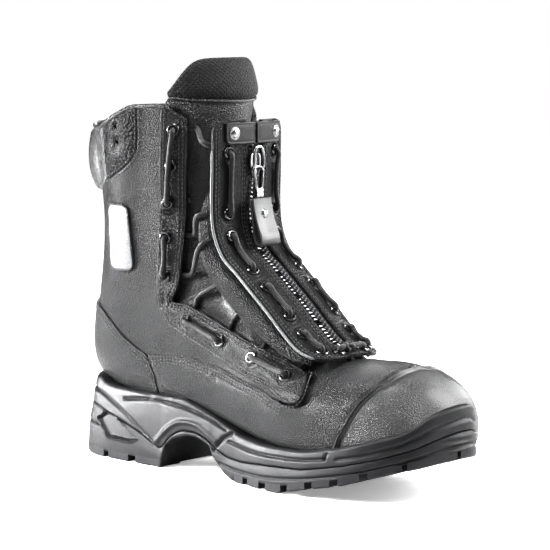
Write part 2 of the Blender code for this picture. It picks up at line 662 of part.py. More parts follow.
def lace_half(side):
    """Route of one half of the lace, from the middle of the panel's tip to its end."""
    panel = panel_holes(side)
    facing = [side_point(x, z, side) for x, z in FACING_EYELETS]
    middle = panel_point(panel_length() - TIP_EYELET_UP, 0, 2.6)
    under_edge = {k: panel_point(PANEL_EYELETS[k], side * 40, -10) for k in range(8)}
    route = [middle]
    route += hole_pass(panel[8], panel[7][0], middle, 1.9)[::-1]
    route += panel_pair(panel, 7, 6, panel[8][0], facing[0][0], side)
    for low, high, start, end in ((0, 1, 5, 4), (2, 3, 3, 2), (4, 5, 1, 0)):
        edge = [under_edge[start + 1]] if low == 4 else []
        route += edge
        way_in, way_out = under_facing(low, side), under_facing(high, side)
        route += way_in[::-1]
        route += hole_pass(facing[low], way_in[0], facing[high][0], LACE_DEPTH - BEND_INSIDE)
        route += facing_run([low, high], side)
        route += hole_pass(facing[high], way_out[0], facing[low][0], LACE_DEPTH - BEND_INSIDE)[::-1]
        route += way_out
        route += [under_edge[start]] if low == 4 else []
        beyond = facing[high + 1][0] if high < 5 else facing[8][0]
        route += panel_pair(panel, start, end, way_out[-1], beyond, side)
    route.append(under_edge[0])
    way_in = under_facing(8, side)
    route += way_in[::-1]
    route += hole_pass(facing[8], way_in[0], facing[7][0], LACE_DEPTH - BEND_INSIDE)
    route += facing_run([8, 7, 6], side)
    way_out = under_facing(6, side)
    route += hole_pass(facing[6], way_out[0], facing[7][0], LACE_DEPTH - BEND_INSIDE)[::-1]
    route += way_out[:2]
    return route


def panel_pair(panel, low, high, arriving, leaving, side):
    """Up through one hole of the panel, along its face and down through another."""
    run = [panel_point(PANEL_EYELETS[low] + (PANEL_EYELETS[high] - PANEL_EYELETS[low]) * f,
                       side * PANEL_EYELET_ROW, 2.6) for f in (.3, .7)]
    return (hole_pass(panel[low], arriving, panel[high][0], 1.9) + run
            + hole_pass(panel[high], leaving, panel[low][0], 1.9)[::-1])


def lace():
    route = lace_half(-1)[::-1] + lace_half(1)[1:]
    tube("lace", route, LACE_RADIUS, TEXTILE, LACE_SIDES)


# ---------------------------------------------------------------- zip panel

def panel_half_width(s, side):
    """Half width of the panel, rounded off towards its tip."""
    end = panel_length()
    left = np.clip((np.asarray(s) - (end - 24)) / 24, 0, 1)
    return PANEL_HALF_WIDTH[side] * (1 - .38 * left ** 2.2)


def panel_normal(s, v):
    """Unit normal out of the panel's face."""
    down = panel_point(s + .5, v, 0) - panel_point(s - .5, v, 0)
    across = panel_point(s, v + .5, 0) - panel_point(s, v - .5, 0)
    normal = np.cross(down, across)
    return normal / np.linalg.norm(normal)


def panel_holes(side):
    """Centres and normals of the lace holes in one strip, from the top down to the tip."""
    places = [(s, side * PANEL_EYELET_ROW) for s in PANEL_EYELETS]
    places.append((panel_length() - TIP_EYELET_UP, side * TIP_EYELET_ROW))
    return [(panel_point(s, v, 0), panel_normal(s, v)) for s, v in places]


def panel_strip(name, side, inner_edge, outer_share, low, high, look, rows=18):
    """Strip of the panel from a distance beside the zip to a share of the panel's width."""
    stations = np.linspace(0, panel_length(), 18)[:rows]
    shares = np.linspace(0, 1, 4)

    def point(s, share, h):
        reach = outer_share * panel_half_width(s, side)
        return panel_point(s, side * (inner_edge + share * (reach - inner_edge)), h)

    return patch(name, point, stations, shares, low, high, look)


def zip_panel():
    for side, word in ((-1, "lateral"), (1, "medial")):
        strip = panel_strip("panel_" + word, side, STRIP_EDGE, 1, -1.8, 0, LEATHER_BLACK)
        cut(strip, *[eyelet_cutter(*hole, PANEL_HOLE) for hole in panel_holes(side)])
        panel_strip("zip_tape_" + word, side, TAPE_EDGE, .45, -3, -2.2, TEXTILE, rows=17)
    teeth = np.linspace(10, panel_length() - 14, 18)
    patch("zip_teeth", panel_point, teeth, np.linspace(-TEETH_HALF_WIDTH, TEETH_HALF_WIDTH, 3),
          -3.6, -.9, DARK_METAL)
    end = panel_length()
    patch("zip_bottom_stop", panel_point, [end - 13.5, end - 10], [-2.2, 0, 2.2], -3.6, -.4, STEEL)
    patch("panel_tip", panel_point, np.linspace(end - 9, end, 3), [-7.4, -3, 0, 3, 7.4], -1.8, 0,
          LEATHER_BLACK)
    piping = [panel_point(s, -panel_half_width(s, -1) - 1.9, -.9)
              for s in np.linspace(20, end - 3, 24)]
    tube("panel_piping", piping, 1.2, REFLECTIVE, sides=6)


def strap():
    rows = np.linspace(STRAP_TOP, STRAP_BOTTOM, 4)
    patch("strap_base", panel_point, rows, [-35, -30, -20, -10, -1], .4, 2.4, LEATHER_BLACK)
    patch("strap_flap", panel_point, rows, [1, 10, 20, 30, 33], .4, 2.4, LEATHER_BLACK)
    middle = (STRAP_TOP + STRAP_BOTTOM) / 2
    for name, v in (("strap_rivet", -26), ("strap_snap", 25)):
        centre = panel_point(middle, v, 2.4)
        normal = panel_normal(middle, v)
        turned(name, [(4.6, .4), (4.6, .9), (3.4, 1.7), (1.4, 2.0)], centre, normal, STEEL, 14)


def zip_hardware():
    """Slider, puller ring and leather tab, modelled hanging and hinged about Y."""
    top = panel_point(SLIDER_DOWN, 0, 0)
    x, z = top[0], top[2]
    plate = [(-3.4, z - 7.5), (3.4, z - 7.5), (5.2, z - 1), (5.2, z + 4), (2.6, z + 7),
             (-2.6, z + 7), (-5.2, z + 4), (-5.2, z - 1)]
    slider = keep(box("zip_slider", (x - .3, -6, z - 9), (x + 2, 6, z + 9), STEEL),
                  prism(plate, x - 2, x + 4, axis=0, gap=0))
    bridge = [(x + 1.5, z - 5), (x + 5.2, z - 5), (x + 6.8, z - 3), (x + 6.8, z + 3),
              (x + 4.6, z + 5.5), (x + 1.5, z + 5.5)]
    window = [(x + 2.6, z - 3.4), (x + 4.6, z - 3.4), (x + 5.2, z - 2), (x + 5.2, z + 2),
              (x + 3.8, z + 3.6), (x + 2.6, z + 3.6)]
    loop = cut(prism(bridge, -1.3, 1.3, gap=0), prism(window, -3, 3, gap=0))
    boolean(slider, loop, "UNION")
    PULLER_X[:] = [x + 3.9, z - 2.2]
    px, pz = PULLER_X
    half_width, drop = 4.3, 20.0
    ring = rounded_ring(half_width, drop, 2.0)
    tube("zip_puller", [(px + .06 * d, y, pz - d) for y, d in ring], .8, STEEL, closed=True)
    pull_tab(px + .06 * drop, pz - drop)


PULLER_X = [0.0, 0.0]
TAB_TILT = math.radians(12)
TAB_LENGTH, TAB_HALF_WIDTH, TAB_NECK, TAB_THICK = 33.0, 7.5, 3.0, 3.2


def pull_tab(x, z):
    """Folded leather tab with an eye round the puller's lower bar."""
    outline = [(-TAB_NECK, 2.6), (TAB_NECK, 2.6), (TAB_NECK, -3.0), (TAB_HALF_WIDTH, -6.5),
               (TAB_HALF_WIDTH, 2 - TAB_LENGTH), (TAB_HALF_WIDTH - 2, -TAB_LENGTH),
               (2 - TAB_HALF_WIDTH, -TAB_LENGTH), (-TAB_HALF_WIDTH, 2 - TAB_LENGTH),
               (-TAB_HALF_WIDTH, -6.5), (-TAB_NECK, -3.0)]
    half_thick = TAB_THICK / 2 + .4
    down = np.array([math.sin(TAB_TILT), 0, -math.cos(TAB_TILT)])
    out = np.array([math.cos(TAB_TILT), 0, math.sin(TAB_TILT)])
    base = np.array([x, 0, z])
    rings = [[base + h * out - d * down + y * np.array([0, 1, 0]) for y, d in outline]
             for h in (-half_thick, half_thick)]
    tab = loft("pull_tab", np.array(rings), LEATHER_BLACK)
    cut(tab, turned("cutter", [(1.25, -9), (1.25, 9)], base, (0, 1, 0), sides=12))
    face = base + down * 12 + out * half_thick
    turned("pull_tab_rivet", [(3.6, .4), (3.6, .8), (2.6, 1.4), (1, 1.6)], face, out, STEEL, 12)


def rounded_ring(half_width, drop, corner):
    """Closed loop of (y, distance down) for a ring with rounded corners."""
    points = []
    for cy, cd, start in ((half_width - corner, corner, 270), (half_width - corner, drop - corner, 0),
                          (corner - half_width, drop - corner, 90), (corner - half_width, corner, 180)):
        for step in range(4):
            a = math.radians(start + step * 30)
            points.append((cy + corner * math.cos(a), cd + corner * math.sin(a)))
    return points


def box(name, low, high, look=None):
    (x0, y0, z0), (x1, y1, z1) = low, high
    rings = [[(x, y0, z0), (x, y1, z0), (x, y1, z1), (x, y0, z1)] for x in (x0, x1)]
    return loft(name, np.array(rings, float), look)


def main():
    for obj in list(bpy.data.objects):
        bpy.data.objects.remove(obj)
    outsole()
    midsole()
    foot_layers()
    upper_leathers()
    collar()
    inner_layers()
    tongue()
    eyelets()
    lace()
    zip_panel()
    strap()
    zip_hardware()


main()
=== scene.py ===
"""Looks of a front-zip fire boot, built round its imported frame.

Lengths are in millimetres until a mesh is made. X runs from the heel (0) to the toe, +Y is the
inner side, -Y the outer side, and Z = 0 is the ground; place() moves points into the frame.
Heights are measured along the normals of the boot's skin, which is the outside of the leather.
"""
import math

import bmesh
import bpy
import numpy as np
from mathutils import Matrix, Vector, kdtree
from mathutils.geometry import delaunay_2d_cdt


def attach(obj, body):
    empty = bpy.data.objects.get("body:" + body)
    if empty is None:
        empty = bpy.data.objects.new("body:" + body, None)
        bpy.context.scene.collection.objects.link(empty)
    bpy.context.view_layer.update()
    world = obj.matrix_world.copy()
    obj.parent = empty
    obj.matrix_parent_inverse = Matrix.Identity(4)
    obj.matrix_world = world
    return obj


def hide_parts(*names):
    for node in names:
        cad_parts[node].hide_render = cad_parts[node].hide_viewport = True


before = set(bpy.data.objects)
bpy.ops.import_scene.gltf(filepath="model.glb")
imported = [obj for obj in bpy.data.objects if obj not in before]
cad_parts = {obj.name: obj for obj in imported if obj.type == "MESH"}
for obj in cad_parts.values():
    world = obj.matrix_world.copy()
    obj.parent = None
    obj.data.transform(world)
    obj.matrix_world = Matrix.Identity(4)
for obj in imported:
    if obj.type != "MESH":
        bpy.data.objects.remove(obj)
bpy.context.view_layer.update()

MM = 0.001
MIDDLE = np.array([153.956, -0.736, 0])      # the frame's origin, measured from the heel

# ---------------------------------------------------------------- the boot's skin and seams

# Sections from toe to top: instep or shin line (X, Z), sole or back line (X, Z), half widths on
# the outer and inner side, height of the widest point as a share, squareness of the lower and
# upper half, and Y of the middle.
STATIONS = np.array([
    [311, 48, 311, 42, 1, 1, .50, 2.0, 2.0, 12],
    [308, 60, 309, 33, 22, 21, .45, 2.6, 2.0, 12],
    [300, 73, 301, 28, 37, 35, .42, 3.2, 2.1, 10],
    [284, 82, 285, 26, 46, 43, .38, 3.8, 2.2, 8],
    [260, 86, 262, 25, 51, 48, .36, 4.2, 2.2, 5],
    [228, 85, 230, 25, 52, 49, .34, 4.4, 2.2, 1],
    [199, 97, 199, 26, 49, 46, .32, 4.2, 2.1, 0],
    [172, 117, 160, 31, 43, 40, .34, 3.8, 2.1, 0],
    [152, 140, 114, 39, 38, 36, .36, 3.4, 2.1, 0],
    [140, 163, 50, 42, 38, 37, .42, 2.8, 2.1, 0],
    [135, 184, 3, 56, 39, 38, .46, 2.3, 2.1, 0],
    [132, 201, 1, 90, 41, 40, .48, 2.1, 2.1, 0],
    [130, 218, 11, 135, 45, 44, .50, 2.1, 2.1, 0],
    [129, 234, 14, 174, 48, 47, .50, 2.1, 2.1, 0],
    [128, 248, 10, 208, 50, 49, .50, 2.1, 2.1, 0],
    [127, 262, 5, 240, 52, 51, .50, 2.1, 2.1, 0],
    [122, 276, 2, 262, 52, 51, .50, 2.1, 2.1, 0],
    [117, 292, 0, 284, 52, 51, .50, 2.1, 2.1, 0],
], float)
LAST = len(STATIONS) - 1.001

# Seams and edges in side view (X, Z), shared by both sides of the boot.
UPPER_EDGE = [(-30, 62), (5, 60), (20, 53), (54, 47), (110, 43), (160, 35), (200, 29.5),
              (230, 29), (262, 29), (285, 30), (300, 33), (311, 40), (330, 44)]
TOE_SEAM = [(252, 29), (258, 44), (264, 55), (269, 65), (274, 73), (278, 80), (280, 100)]
SEAM_JUNCTION = (75, 78)
HEEL_SEAM_LOW = [(81, 45), (81, 64), SEAM_JUNCTION]
HEEL_SEAM_HIGH = [SEAM_JUNCTION, (67, 81), (52, 89), (40, 98), (29, 106), (10, 112), (-30, 114)]
VAMP_SEAM = [SEAM_JUNCTION, (92, 81), (107, 81), (126, 79), (147, 76), (168, 71), (190, 66),
             (205, 61), (212, 59)]
VAMP_THROAT = [(212, 59), (222, 58), (231, 61), (234, 69), (234, 80), (235, 100)]
FACING_TIP = [(212, 60.6), (218, 60.4), (223, 61.6), (225.8, 65.2), (224.2, 72), (221, 78)]
FACING_BACK = [(212, 60.6), (194, 68), (162, 76), (130, 86), (105, 96), (91, 105), (85, 124),
               (87, 160), (92, 188), (95, 223), (97, 251.7)]
FACING_EDGE = [(112, 243.5), (112, 223), (109, 188), (106, 160), (103, 129), (98, 118),
               (110, 117), (132, 109), (160, 99), (187, 90), (208, 83), (221, 78)]
COLLAR_PATCH_EDGE = [(79, 250.7), (78, 229), (75, 219), (65, 210), (51, 203), (39, 200)]
BACK_COLLAR_EDGE = [(39, 200), (25, 190), (10, 186), (-30, 184)]
RIM_FRONT = [(97, 251.7), (101, 251.6), (106, 248), (112, 243.5)]
RIM_BACK = [(40, 236), (58, 244), (73, 250), (79, 250.7)]
RIM_REAR = [(-30, 238), (10, 236), (30, 234), (40, 236)]
BACK_SEAM = .15                              # half the gap between the quarters at the back
RIM_TUCK = 1.2                               # how far the leather reaches up into the piping
VENT_HOLES = [(57, 238), (45, 231), (58, 227), (41, 219)]
FACING_EYELETS = [(207, 76), (175, 85.5), (144, 94), (112, 105), (92, 135), (93, 162), (97, 186),
                  (102, 212), (104.5, 237)]
FLEX_PATCH = (165, 183)                      # ribbed stretch of the facings, in Z
TIP_RISE = (196, 212)                        # the facing rises onto the vamp here, in X
SEAM_ROWS = (2.4, 4.6)                       # stitch rows, from the edge they follow
VAMP_ROWS = (2.4, 4.6, 6.6)
FACING_ROWS = (2.3, 4.6)

TONGUE_DEPTH = (-6.5, -8.8)
LINING_DEPTH = (-4.8, -5.9)
OVERLAY, TOP_OVERLAY = 0.9, 1.7              # how far overlapping leathers stand on the others


# ---------------------------------------------------------------- curves and surfaces

def units(vectors, least=0.0):
    """Vectors brought to length 1; least keeps empty ones from a division by zero."""
    return vectors / (np.linalg.norm(vectors, axis=-1, keepdims=True) + least)


def catmull(table, t):
    """Uniform Catmull-Rom curve through the rows of a table; t runs from 0 to len - 1."""
    table = np.asarray(table, float)
    t = np.clip(np.asarray(t, float), 0, len(table) - 1 - 1e-9)
    i = np.floor(t).astype(int)
    f = (t - i)[..., None]
    a, b, c, d = (table[np.clip(i + k, 0, len(table) - 1)] for k in (-1, 0, 1, 2))
    return .5 * (2 * b + (c - a) * f + (2 * a - 5 * b + 4 * c - d) * f ** 2
                 + (3 * b - a - 3 * c + d) * f ** 3)


def soft_stations(t):
    """Section at t, smoothed a little so that highlights flow over the stations."""
    t = np.asarray(t, float)
    reach = np.clip(np.minimum(t, LAST - t), 0, .45)
    return (catmull(STATIONS, t - reach) + 2 * catmull(STATIONS, t)
            + catmull(STATIONS, t + reach)) / 4


def skin_point(t, phi):
    """Point of the skin. phi is 0 at the sole or back and pi at the instep."""
    xd, zd, xp, zp, wl, wm, h, nl, nu, yc = np.moveaxis(soft_stations(t), -1, 0)
    phi = np.mod(phi + math.pi, 2 * math.pi) - math.pi
    a = np.abs(phi)
    low = a < math.pi / 2
    n = np.where(low, nl, nu)
    width = np.where(phi < 0, wl, wm) * np.abs(np.sin(a)) ** (2 / n)
    c = np.abs(np.cos(a)) ** (2 / n)
    v = np.where(low, h * (1 - c), h + (1 - h) * c)
    return np.stack([xp + (xd - xp) * v, yc + np.sign(phi) * width, zp + (zd - zp) * v], -1)


def skin_normal(t, phi, e=.03):
    """Unit normal pointing out of the boot."""
    dt = skin_point(t + e, phi) - skin_point(t - e, phi)
    dp = skin_point(t, phi + e) - skin_point(t, phi - e)
    return units(np.cross(dt, dp), 1e-12)


SEEDS = {}
SOLVER_ROUNDS, SOLVER_STEP, SOLVER_DAMPING = 7, 1e-3, 4.0
DOUBLED = .35                                # points nearer than this, in mm, count as one


def search_tree(points):
    tree = kdtree.KDTree(len(points))
    for i, p in enumerate(points):
        tree.insert(p, i)
    tree.balance()
    return tree


def seeds_of(side):
    """Grid of skin parameters on one side, with a search tree over its side view."""
    if side not in SEEDS:
        t, a = np.meshgrid(np.linspace(0, LAST, 170), np.linspace(0, math.pi, 110), indexing="ij")
        grid = np.stack([t.ravel(), a.ravel()], 1)
        seen = skin_point(grid[:, 0], side * grid[:, 1])
        SEEDS[side] = grid, search_tree(seen * (1, 0, 1))
    return SEEDS[side]


def on_skin(xz, side):
    """Parameters (t, phi) of points in side view, on side -1 (outer) or +1 (inner)."""
    xz = np.asarray(xz, float).reshape(-1, 2)
    seeds, tree = seeds_of(side)
    q = np.array([seeds[tree.find((x, 0, z))[1]] for x, z in xz])
    e = SOLVER_STEP
    for _ in range(SOLVER_ROUNDS):
        def view(dt, da):
            return skin_point(q[:, 0] + dt, side * (q[:, 1] + da))[:, [0, 2]]
        miss = view(0, 0) - xz
        jt, ja = (view(e, 0) - view(0, 0)) / e, (view(0, e) - view(0, 0)) / e
        aa, bb = (jt * jt).sum(1) + SOLVER_DAMPING, (ja * ja).sum(1) + SOLVER_DAMPING
        ab = (jt * ja).sum(1)
        ra, rb = (jt * miss).sum(1), (ja * miss).sum(1)
        det = aa * bb - ab * ab
        q -= np.stack([(bb * ra - ab * rb) / det, (aa * rb - ab * ra) / det], 1)
        q[:, 0] = np.clip(q[:, 0], 0, LAST)
        q[:, 1] = np.clip(q[:, 1], 0, math.pi)
    return q[:, 0], side * q[:, 1]


def side_surface(xz, side):
    """Points and normals of the skin at points in side view."""
    t, phi = on_skin(xz, side)
    return skin_point(t, phi), skin_normal(t, phi)


def run_along(line):
    """Length of a line up to each of its points."""
    return np.concatenate([[0], np.cumsum(np.linalg.norm(np.diff(line, axis=0), axis=1))])


def curve(points, step=2.0):
    """Smooth open line through points, sampled about every step millimetres."""
    points = np.asarray(points, float)
    dense = catmull(points, np.linspace(0, len(points) - 1, 40 * len(points)))
    return resampled(dense, step)


def points_at(where, run, line):
    """Points of a line at some lengths, from the length up to each of its own points."""
    return np.stack([np.interp(where, run, column) for column in line.T], 1)


def resampled(line, step):
    """A line with even steps of about step millimetres."""
    run = run_along(line)
    count = max(2, int(round(run[-1] / step)) + 1)
    return points_at(np.linspace(0, run[-1], count), run, line)


def ringed(outline):
    """An outline with its first point again at its end."""
    return np.concatenate([outline, outline[:1]])


def evened(outline, step):
    """A closed outline with even steps."""
    return resampled(ringed(outline), step)[:-1]


def joined(*lines):
    """One closed outline from lines end to end, without doubled points."""
    points = []
    for line in lines:
        for p in np.asarray(line, float):
            if not points or np.linalg.norm(p - points[-1]) > DOUBLED:
                points.append(p)
    if np.linalg.norm(points[0] - points[-1]) < DOUBLED:
        points.pop()
    return np.array(points)


def shifted(line, distance):
    """A line in the plane moved sideways, to the left of its direction if distance > 0."""
    along = units(np.gradient(np.asarray(line, float), axis=0), 1e-9)
    return line + distance * np.stack([-along[:, 1], along[:, 0]], 1)


def smooth(x, low, high):
    x = np.clip((x - low) / (high - low), 0, 1)
    return x * x * (3 - 2 * x)


def bump(x, centre, width):
    return np.exp(-((x - centre) / width) ** 2)


# ---------------------------------------------------------------- mesh building

def shown(name, data):
    """New object for data, in the scene."""
    obj = bpy.data.objects.new(name, data)
    bpy.context.scene.collection.objects.link(obj)
    return obj


def place(points):
    """Points in the frame, in metres, from points in millimetres."""
    return (np.asarray(points, float).reshape(-1, 3) - MIDDLE) * MM


def piece(name, points, faces, look, body="boot", slot=None, sharp=35, uv=None):
    """A shown piece of the boot from points in millimetres."""
    data = bpy.data.meshes.new(name)
    data.from_pydata(place(points).tolist(), [], [tuple(int(i) for i in f) for f in faces])
    data.materials.append(look)
    obj = shown(name, data)
    if uv is not None:
        layer = data.uv_layers.new(name="along")
        index = np.zeros(len(data.loops), int)
        data.loops.foreach_get("vertex_index", index)
        layer.data.foreach_set("uv", np.asarray(uv, float)[index].ravel())
    outward(obj)
    data.shade_smooth()
    data.set_sharp_from_angle(angle=math.radians(sharp))
    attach(obj, body)
    return obj


def outward(obj):
    bm = bmesh.new()
    bm.from_mesh(obj.data)
    bmesh.ops.recalc_face_normals(bm, faces=bm.faces)
    bm.to_mesh(obj.data)
    bm.free()


def inside(points, outline):
    """Which points lie inside a closed outline."""
    x, y = points[:, 0][:, None], points[:, 1][:, None]
    a, b = outline, np.roll(outline, -1, 0)
    crosses = (a[:, 1] > y) != (b[:, 1] > y)
    rise = np.where(b[:, 1] == a[:, 1], 1e-12, b[:, 1] - a[:, 1])
    hit = x < (b[:, 0] - a[:, 0]) * (y - a[:, 1]) / rise + a[:, 0]
    return (crosses & hit).sum(1) % 2 == 1


def within(points, loops):
    """Which points lie inside the first of several closed loops and outside the others."""
    kept = inside(points, loops[0])
    for hole in loops[1:]:
        kept &= ~inside(points, hole)
    return kept


def triangulated(points, edges, loops, tolerance):
    """Points and triangles of the part of the plane that lies within the loops."""
    out = delaunay_2d_cdt([Vector(p) for p in points], edges, [], 0, tolerance, False)
    flat, tris = np.array([v[:] for v in out[0]]), np.array(out[2])
    return flat, tris[within(flat[tris].mean(1), loops)]


EDGE_STEP = .45


def edge_distance(points, loops):
    """Distance in space from each point to the nearest of several closed loops."""
    tree = search_tree(np.concatenate([resampled(ringed(loop), EDGE_STEP) for loop in loops]))
    return np.array([tree.find(p)[2] for p in points])


def edge_rings(loop, loop3, chart, distances, hole):
    """Rings of points beside a closed loop, on the leather's side, at distances in space."""
    along = np.roll(loop, -1, 0) - np.roll(loop, 1, 0)
    across = units(np.stack([-along[:, 1], along[:, 0]], 1), 1e-9)
    scale = np.linalg.norm(chart(loop + across * .1)[0] - loop3, axis=1) / .1
    sign = 1 if inside(loop + across * .05, loop).mean() > .5 else -1
    if hole:
        sign = -sign
    return [loop + sign * across * (distance / np.maximum(scale, .2))[:, None]
            for distance in distances]


def border_edges(tris):
    """Directed edges that only one triangle has."""
    border = {}
    for a, b, c in tris.tolist():
        for u, v in ((a, b), (b, c), (c, a)):
            if (v, u) in border:
                del border[(v, u)]
            else:
                border[(u, v)] = True
    return list(border)


THINNEST = .2                                # least thickness of a leather piece


def leaf(name, outline, chart, look, top, under=-.05, holes=(), spacing=2.8,
         rings=(.35, .9, 1.6, 2.5, 3.4, 4.4), body="boot", slot="leather"):
    """A piece of leather or cloth. chart turns points of the plane into points and normals of a
    surface, and top gives the height of the upper side from the distance to the edge."""
    loops = [np.asarray(outline)] + [np.asarray(h) for h in holes]
    loops3 = [chart(loop)[0] for loop in loops]
    inner = []
    for number, (loop, loop3) in enumerate(zip(loops, loops3)):
        inner += [(ring, distance * .86) for ring, distance in
                  zip(edge_rings(loop, loop3, chart, rings, number > 0), rings)]
    low, high = loops[0].min(0), loops[0].max(0)
    stretch = np.linalg.norm(chart(loops[0] + (.05, 0))[0] - loops3[0], axis=1) / .05
    step = spacing / np.clip(np.median(stretch), .5, 2)
    gx, gy = np.meshgrid(np.arange(low[0], high[0], step),
                         np.arange(low[1], high[1], step * .87))
    gx[1::2] += step / 2
    inner.append((np.stack([gx.ravel(), gy.ravel()], 1), rings[-1] + .45 * spacing))
    cloud = list(loops)
    for points, least in inner:
        points = points[within(points, loops)]
        if len(points):
            cloud.append(points[edge_distance(chart(points)[0], loops3) > least])
    edges, first = [], 0
    for loop in loops:
        n = len(loop)
        edges += [(first + i, first + (i + 1) % n) for i in range(n)]
        first += n
    flat, tris = triangulated(np.concatenate(cloud), edges, loops, 1e-5)
    base, normal = chart(flat)
    distance = edge_distance(base, loops3)
    crest = top(distance, base)
    floor = under(distance, base) if callable(under) else np.full(len(base), float(under))
    upper = base + normal * crest[:, None]
    lower = base + normal * np.minimum(floor, crest - THINNEST)[:, None]
    count = len(flat)
    faces = tris.tolist() + (tris[:, ::-1] + count).tolist()
    faces += [(v, u, u + count, v + count) for u, v in border_edges(tris)]
    return piece(name, np.concatenate([upper, lower]), faces, look, body, slot)


def rolled(distance, lift, radius=1.0, rows=(), depth=.4):
    """Height over a leather edge that is rounded off, with a furrow for each row of stitches."""
    share = np.clip(distance / radius, 0, 1)
    crest = lift - radius * (1 - np.sqrt(np.clip(1 - (1 - share) ** 2, 0, 1)))
    for row in rows:
        crest = crest - depth * bump(distance, row, .65)
    return crest


def round_hole(centre, radius, count=22):
    """Closed outline of a round hole in a chart."""
    a = np.arange(count) * 2 * math.pi / count
    return np.asarray(centre) + radius * np.stack([np.cos(a), np.sin(a)], 1)


def grid_faces(rows, columns, closed=False, first=0):
    """Quads between rows of points; closed joins the last column to the first."""
    r = np.arange(rows - 1)[:, None] * columns
    c = np.arange(columns if closed else columns - 1)[None, :]
    d = (c + 1) % columns
    faces = np.stack([r + c, r + d, r + columns + d, r + columns + c], -1)
    return (faces.reshape(-1, 4) + first).tolist()


def end_faces(rows, columns):
    """One face over the first and one over the last of several rings of points."""
    last = (rows - 1) * columns
    return [tuple(range(columns)), tuple(range(last, last + columns))]


def frames(points, closed=False):
    """Tangent, side and up directions along a line, turning as little as possible."""
    p = np.asarray(points, float)
    tangent = np.roll(p, -1, 0) - np.roll(p, 1, 0) if closed else np.gradient(p, axis=0)
    tangent = units(tangent, 1e-12)
    side = np.cross(tangent[0], (0, 0, 1) if abs(tangent[0][2]) < .9 else (1, 0, 0))
    sides = []
    for row in tangent:
        side = side - row * np.dot(side, row)
        side = side / np.linalg.norm(side)
        sides.append(side)
    sides = np.array(sides)
    return tangent, sides, np.cross(tangent, sides)


def rings_round(p, radii, sides, closed=False):
    """A ring of points round each point of a line."""
    _, side, up = frames(p, closed)
    a = np.arange(sides) * 2 * math.pi / sides
    return p[:, None] + radii[..., None] * (np.cos(a)[None, :, None] * side[:, None]
                                            + np.sin(a)[None, :, None] * up[:, None])


def tube(name, points, radius, look, sides=12, closed=False, **where):
    """Round bar along a line; radius may change from row to row and round the bar."""
    p = np.asarray(points, float)
    radii = np.asarray(radius, float)
    radii = np.broadcast_to(radii[:, None] if radii.ndim == 1 else radii, (len(p), sides))
    ring = rings_round(p, radii, sides, closed)
    faces = grid_faces(len(p), sides, True)
    if closed:
        last = (len(p) - 1) * sides
        turn = int(np.argmin(np.linalg.norm(ring[0] - ring[-1][0], axis=1)))
        for c in range(sides):
            d = (c + 1) % sides
            faces.append((last + c, last + d, (d + turn) % sides, (c + turn) % sides))
    else:
        faces += end_faces(len(p), sides)
    return piece(name, ring.reshape(-1, 3), faces, look, **where)


def many(name, parts, look, **where):
    """One piece from several (points, faces) solids."""
    points, faces, first = [], [], 0
    for p, f in parts:
        p = np.asarray(p, float).reshape(-1, 3)
        points.append(p)
        faces += [tuple(i + first for i in face) for face in f]
        first += len(p)
    return piece(name, np.concatenate(points), faces, look, **where)


def turned(profile, centre, axis, sides=28):
    """(points, faces) of a solid turned about an axis from (radius, height) pairs."""
    axis = np.asarray(axis, float) / np.linalg.norm(axis)
    side = np.cross(axis, (0, 0, 1) if abs(axis[2]) < .9 else (1, 0, 0))
    side /= np.linalg.norm(side)
    up = np.cross(axis, side)
    a = np.arange(sides) * 2 * math.pi / sides
    spokes = np.cos(a)[:, None] * side + np.sin(a)[:, None] * up
    points = np.concatenate([np.asarray(centre) + r * spokes + h * axis for r, h in profile])
    faces = grid_faces(len(profile), sides, True)
    if profile[0] != profile[-1]:
        faces += end_faces(len(profile), sides)
    return points, faces


# ---------------------------------------------------------------- stitches

STITCH_PITCH, STITCH_LENGTH, STITCH_RADIUS = 3.0, 2.2, .45


def stitch_run(line, normals):
    """(points, faces) of single stitches along a line lying on a surface."""
    run = run_along(line)
    count = max(1, int(run[-1] / STITCH_PITCH))
    at = (np.arange(count) + .5) * run[-1] / count
    centre, up = points_at(at, run, line), units(points_at(at, run, normals))
    ahead = units(points_at(at + .5, run, line) - points_at(at - .5, run, line), 1e-12)
    side = np.cross(ahead, up)
    shares = np.array([-1, -.8, -.3, .3, .8, 1]) * STITCH_LENGTH / 2
    sizes = np.array([.4, .85, 1, 1, .85, .4]) * STITCH_RADIUS
    sink = np.array([-.5, -.12, .14, .14, -.12, -.5])
    sides = 6
    a = np.arange(sides) * 2 * math.pi / sides
    circle = (np.cos(a)[None, None, :, None] * side[:, None, None]
              + np.sin(a)[None, None, :, None] * up[:, None, None])
    points = (centre[:, None, None] + shares[None, :, None, None] * ahead[:, None, None]
              + sink[None, :, None, None] * up[:, None, None] + sizes[None, :, None, None] * circle)
    one = grid_faces(len(shares), sides, True) + end_faces(len(shares), sides)
    each = sides * len(shares)
    faces = [tuple(i + k * each for i in face) for k in range(count) for face in one]
    return points.reshape(-1, 3), faces


def seam_rows(line, side, offsets, lift):
    """Stitch rows beside a seam in side view, on one side of the boot."""
    rows = []
    for offset in offsets:
        p, n = side_surface(shifted(line, offset), side)
        keep = np.concatenate([[True], np.linalg.norm(np.diff(p, axis=0), axis=1) > .2])
        rows.append(stitch_run(p[keep] + n[keep] * lift, n[keep]))
    return rows


# ---------------------------------------------------------------- materials

